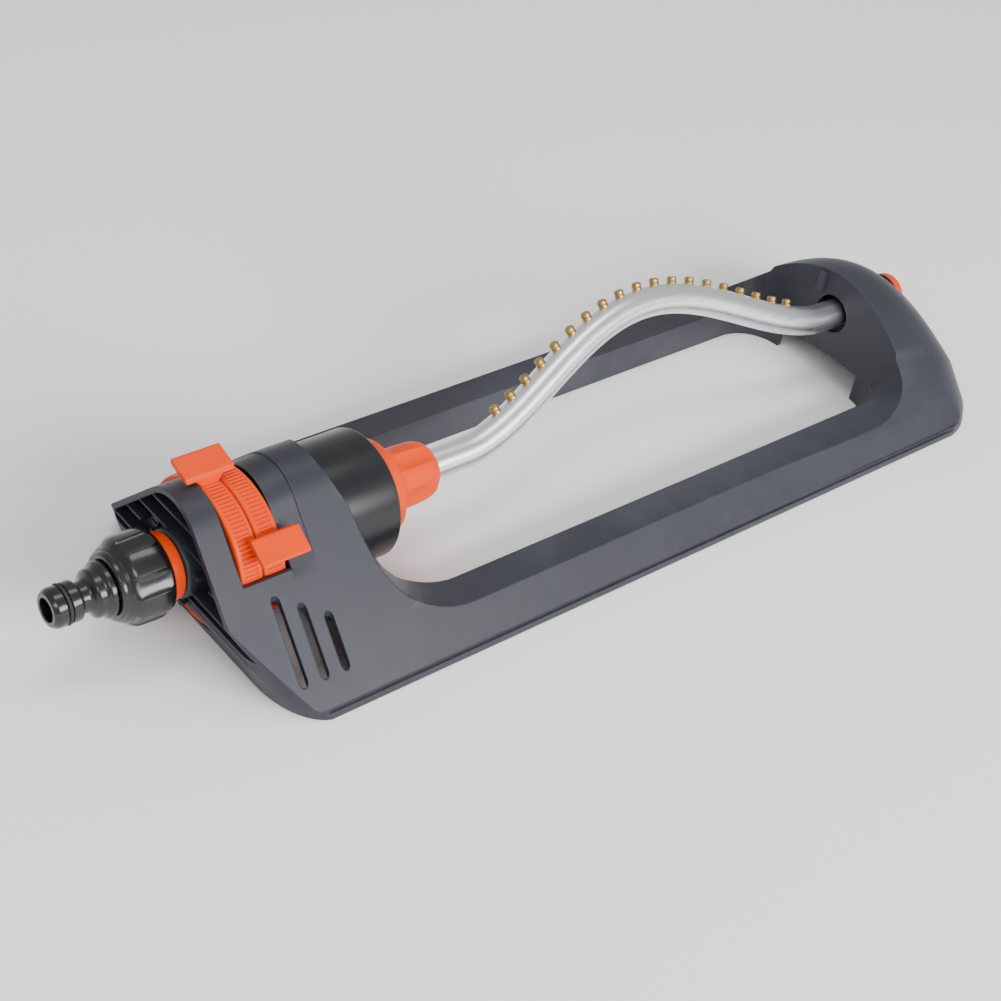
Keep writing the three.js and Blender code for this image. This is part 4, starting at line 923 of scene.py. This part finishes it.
# %% Finishes of the carried-over nodes
finishes = {
    charcoal: ["housing_back_cover", "jet_plate", "gear_plate_rear", "gear_plate_front", "output_shaft"],
    nylon: ["output_bearing", "inlet_filter", "turbine_wheel", "lay_gear", "output_gear"],
    rubber: ["output_seal", "inlet_washer", "nipple_o_ring", "plug_o_ring"],
    orange: ["reversing_lever"],
    dark_steel: ["housing_screw_1", "housing_screw_2", "housing_screw_3"],
    steel: ["turbine_shaft", "lay_gear_pin", "lever_pivot_pin", "gear_post_1", "gear_post_2", "gear_post_3"],
}
for material, names in finishes.items():
    for name in names:
        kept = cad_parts[name]
        kept.data.materials.clear()
        kept.data.materials.append(material)
print("carried over:", sum(len(n) for n in finishes.values()))

# %% [markdown]
# ## Floor
# A pale sheet that curves up far behind the object, as a studio's paper backdrop does. A plane with a
# wall would show a line where they meet, and a world colour alone would take no shadow. It is stage
# dressing, not a piece, and lies a fifth of a millimetre low so that it never meets the lip's face.

# %% Floor and backdrop
floor_mesh = bpy.data.meshes.new("studio_floor")
u = np.linspace(-4, 4, 41)
gx, gy = np.meshgrid(u, u, indexing="ij")
rise = np.clip(gy - 2.2, 0, None) ** 2 * 0.6
verts = np.stack([gx, gy, rise - 0.0002], -1).reshape(-1, 3)
floor_mesh.from_pydata(verts.tolist(), [], grid_quads(41, 41, wrap_columns=False)[:, ::-1].tolist())
floor_mesh.shade_smooth()
floor = bpy.data.objects.new("studio_floor", floor_mesh)
bpy.context.scene.collection.objects.link(floor)
paper = bpy.data.materials.new("pale_floor")
paper.use_nodes = True
sheet = paper.node_tree.nodes["Principled BSDF"]
sheet.inputs["Base Color"].default_value = (0.97, 0.97, 0.97, 1)
sheet.inputs["Roughness"].default_value = 0.9
floor.data.materials.append(paper)
print("floor rises to", round(float(rise.max()), 2), "m behind")

# %% [markdown]
# ## Light
# One broad key low at the front draws long highlights on the tube and the drum, a small lamp on the
# inlet side picks out the nose, and a strip overhead separates the arch from the drum. A picture of
# a studio could light the scene, but it would need a file. Large area lamps keep the shadows soft.

# %% Lights
def soft_light(name, place, aim, size, power):
    """A rectangular lamp at a place, turned to face its aim, with its power in watts."""
    data = bpy.data.lights.new(name, "AREA")
    data.shape = "RECTANGLE"
    data.size, data.size_y = size
    data.energy = power
    lamp = bpy.data.objects.new(name, data)
    lamp.location = place
    lamp.rotation_euler = (Vector(aim) - Vector(place)).to_track_quat("-Z", "Y").to_euler()
    bpy.context.scene.collection.objects.link(lamp)


soft_light("key", (0.15, -1.8, 0.9), (0.05, 0, 0.02), (1.8, 0.7), 62)
soft_light("inlet_side", (-1.5, -0.9, 1.3), (-0.1, 0, 0.04), (0.7, 0.5), 8)
soft_light("overhead", (0.0, 0.1, 1.9), (0, 0, 0), (1.8, 0.5), 12)
world = bpy.data.worlds.new("studio")
world.use_nodes = True
sky = world.node_tree.nodes["Background"]
sky.inputs["Color"].default_value = (1, 1, 1, 1)
sky.inputs["Strength"].default_value = 0.55
bpy.context.scene.world = world
print("lamps:", [lamp.name for lamp in bpy.data.lights], "fill", 0.55)

# %% [markdown]
# ## Camera
# A long lens looks down from above the inlet end, and leans a little, so that the sprinkler climbs
# across the view. A Track To constraint would keep the camera level. Its three directions are worked
# out from azimuth, elevation and roll instead, which sets the lean as one plain number.

# %% Camera
def camera_turn(azimuth, elevation, roll):
    """Right, up and back directions of a camera that looks along the azimuth, down by the elevation."""
    az, el, ro = np.radians([azimuth, elevation, roll])
    back = np.array([np.sin(az) * np.cos(el), -np.cos(az) * np.cos(el), np.sin(el)])
    right = np.cross([0, 0, 1], back)
    right /= np.linalg.norm(right)
    up = np.cross(back, right)
    right, up = np.cos(ro) * right - np.sin(ro) * up, np.sin(ro) * right + np.cos(ro) * up
    return np.stack([right, up, back], 1)


lens = bpy.data.cameras.new("camera")
lens.sensor_width = 36
lens.lens = 69.4
camera = bpy.data.objects.new("camera", lens)
spot = Matrix(camera_turn(-47.285, 38.391, -12.0).tolist()).to_4x4()
spot.translation = Vector((DATUM_X / 1000 - 0.4395, -0.4881, 0.5675))
camera.matrix_world = spot
bpy.context.scene.collection.objects.link(camera)
bpy.context.scene.camera = camera
print("camera at", [round(v, 3) for v in camera.matrix_world.translation])
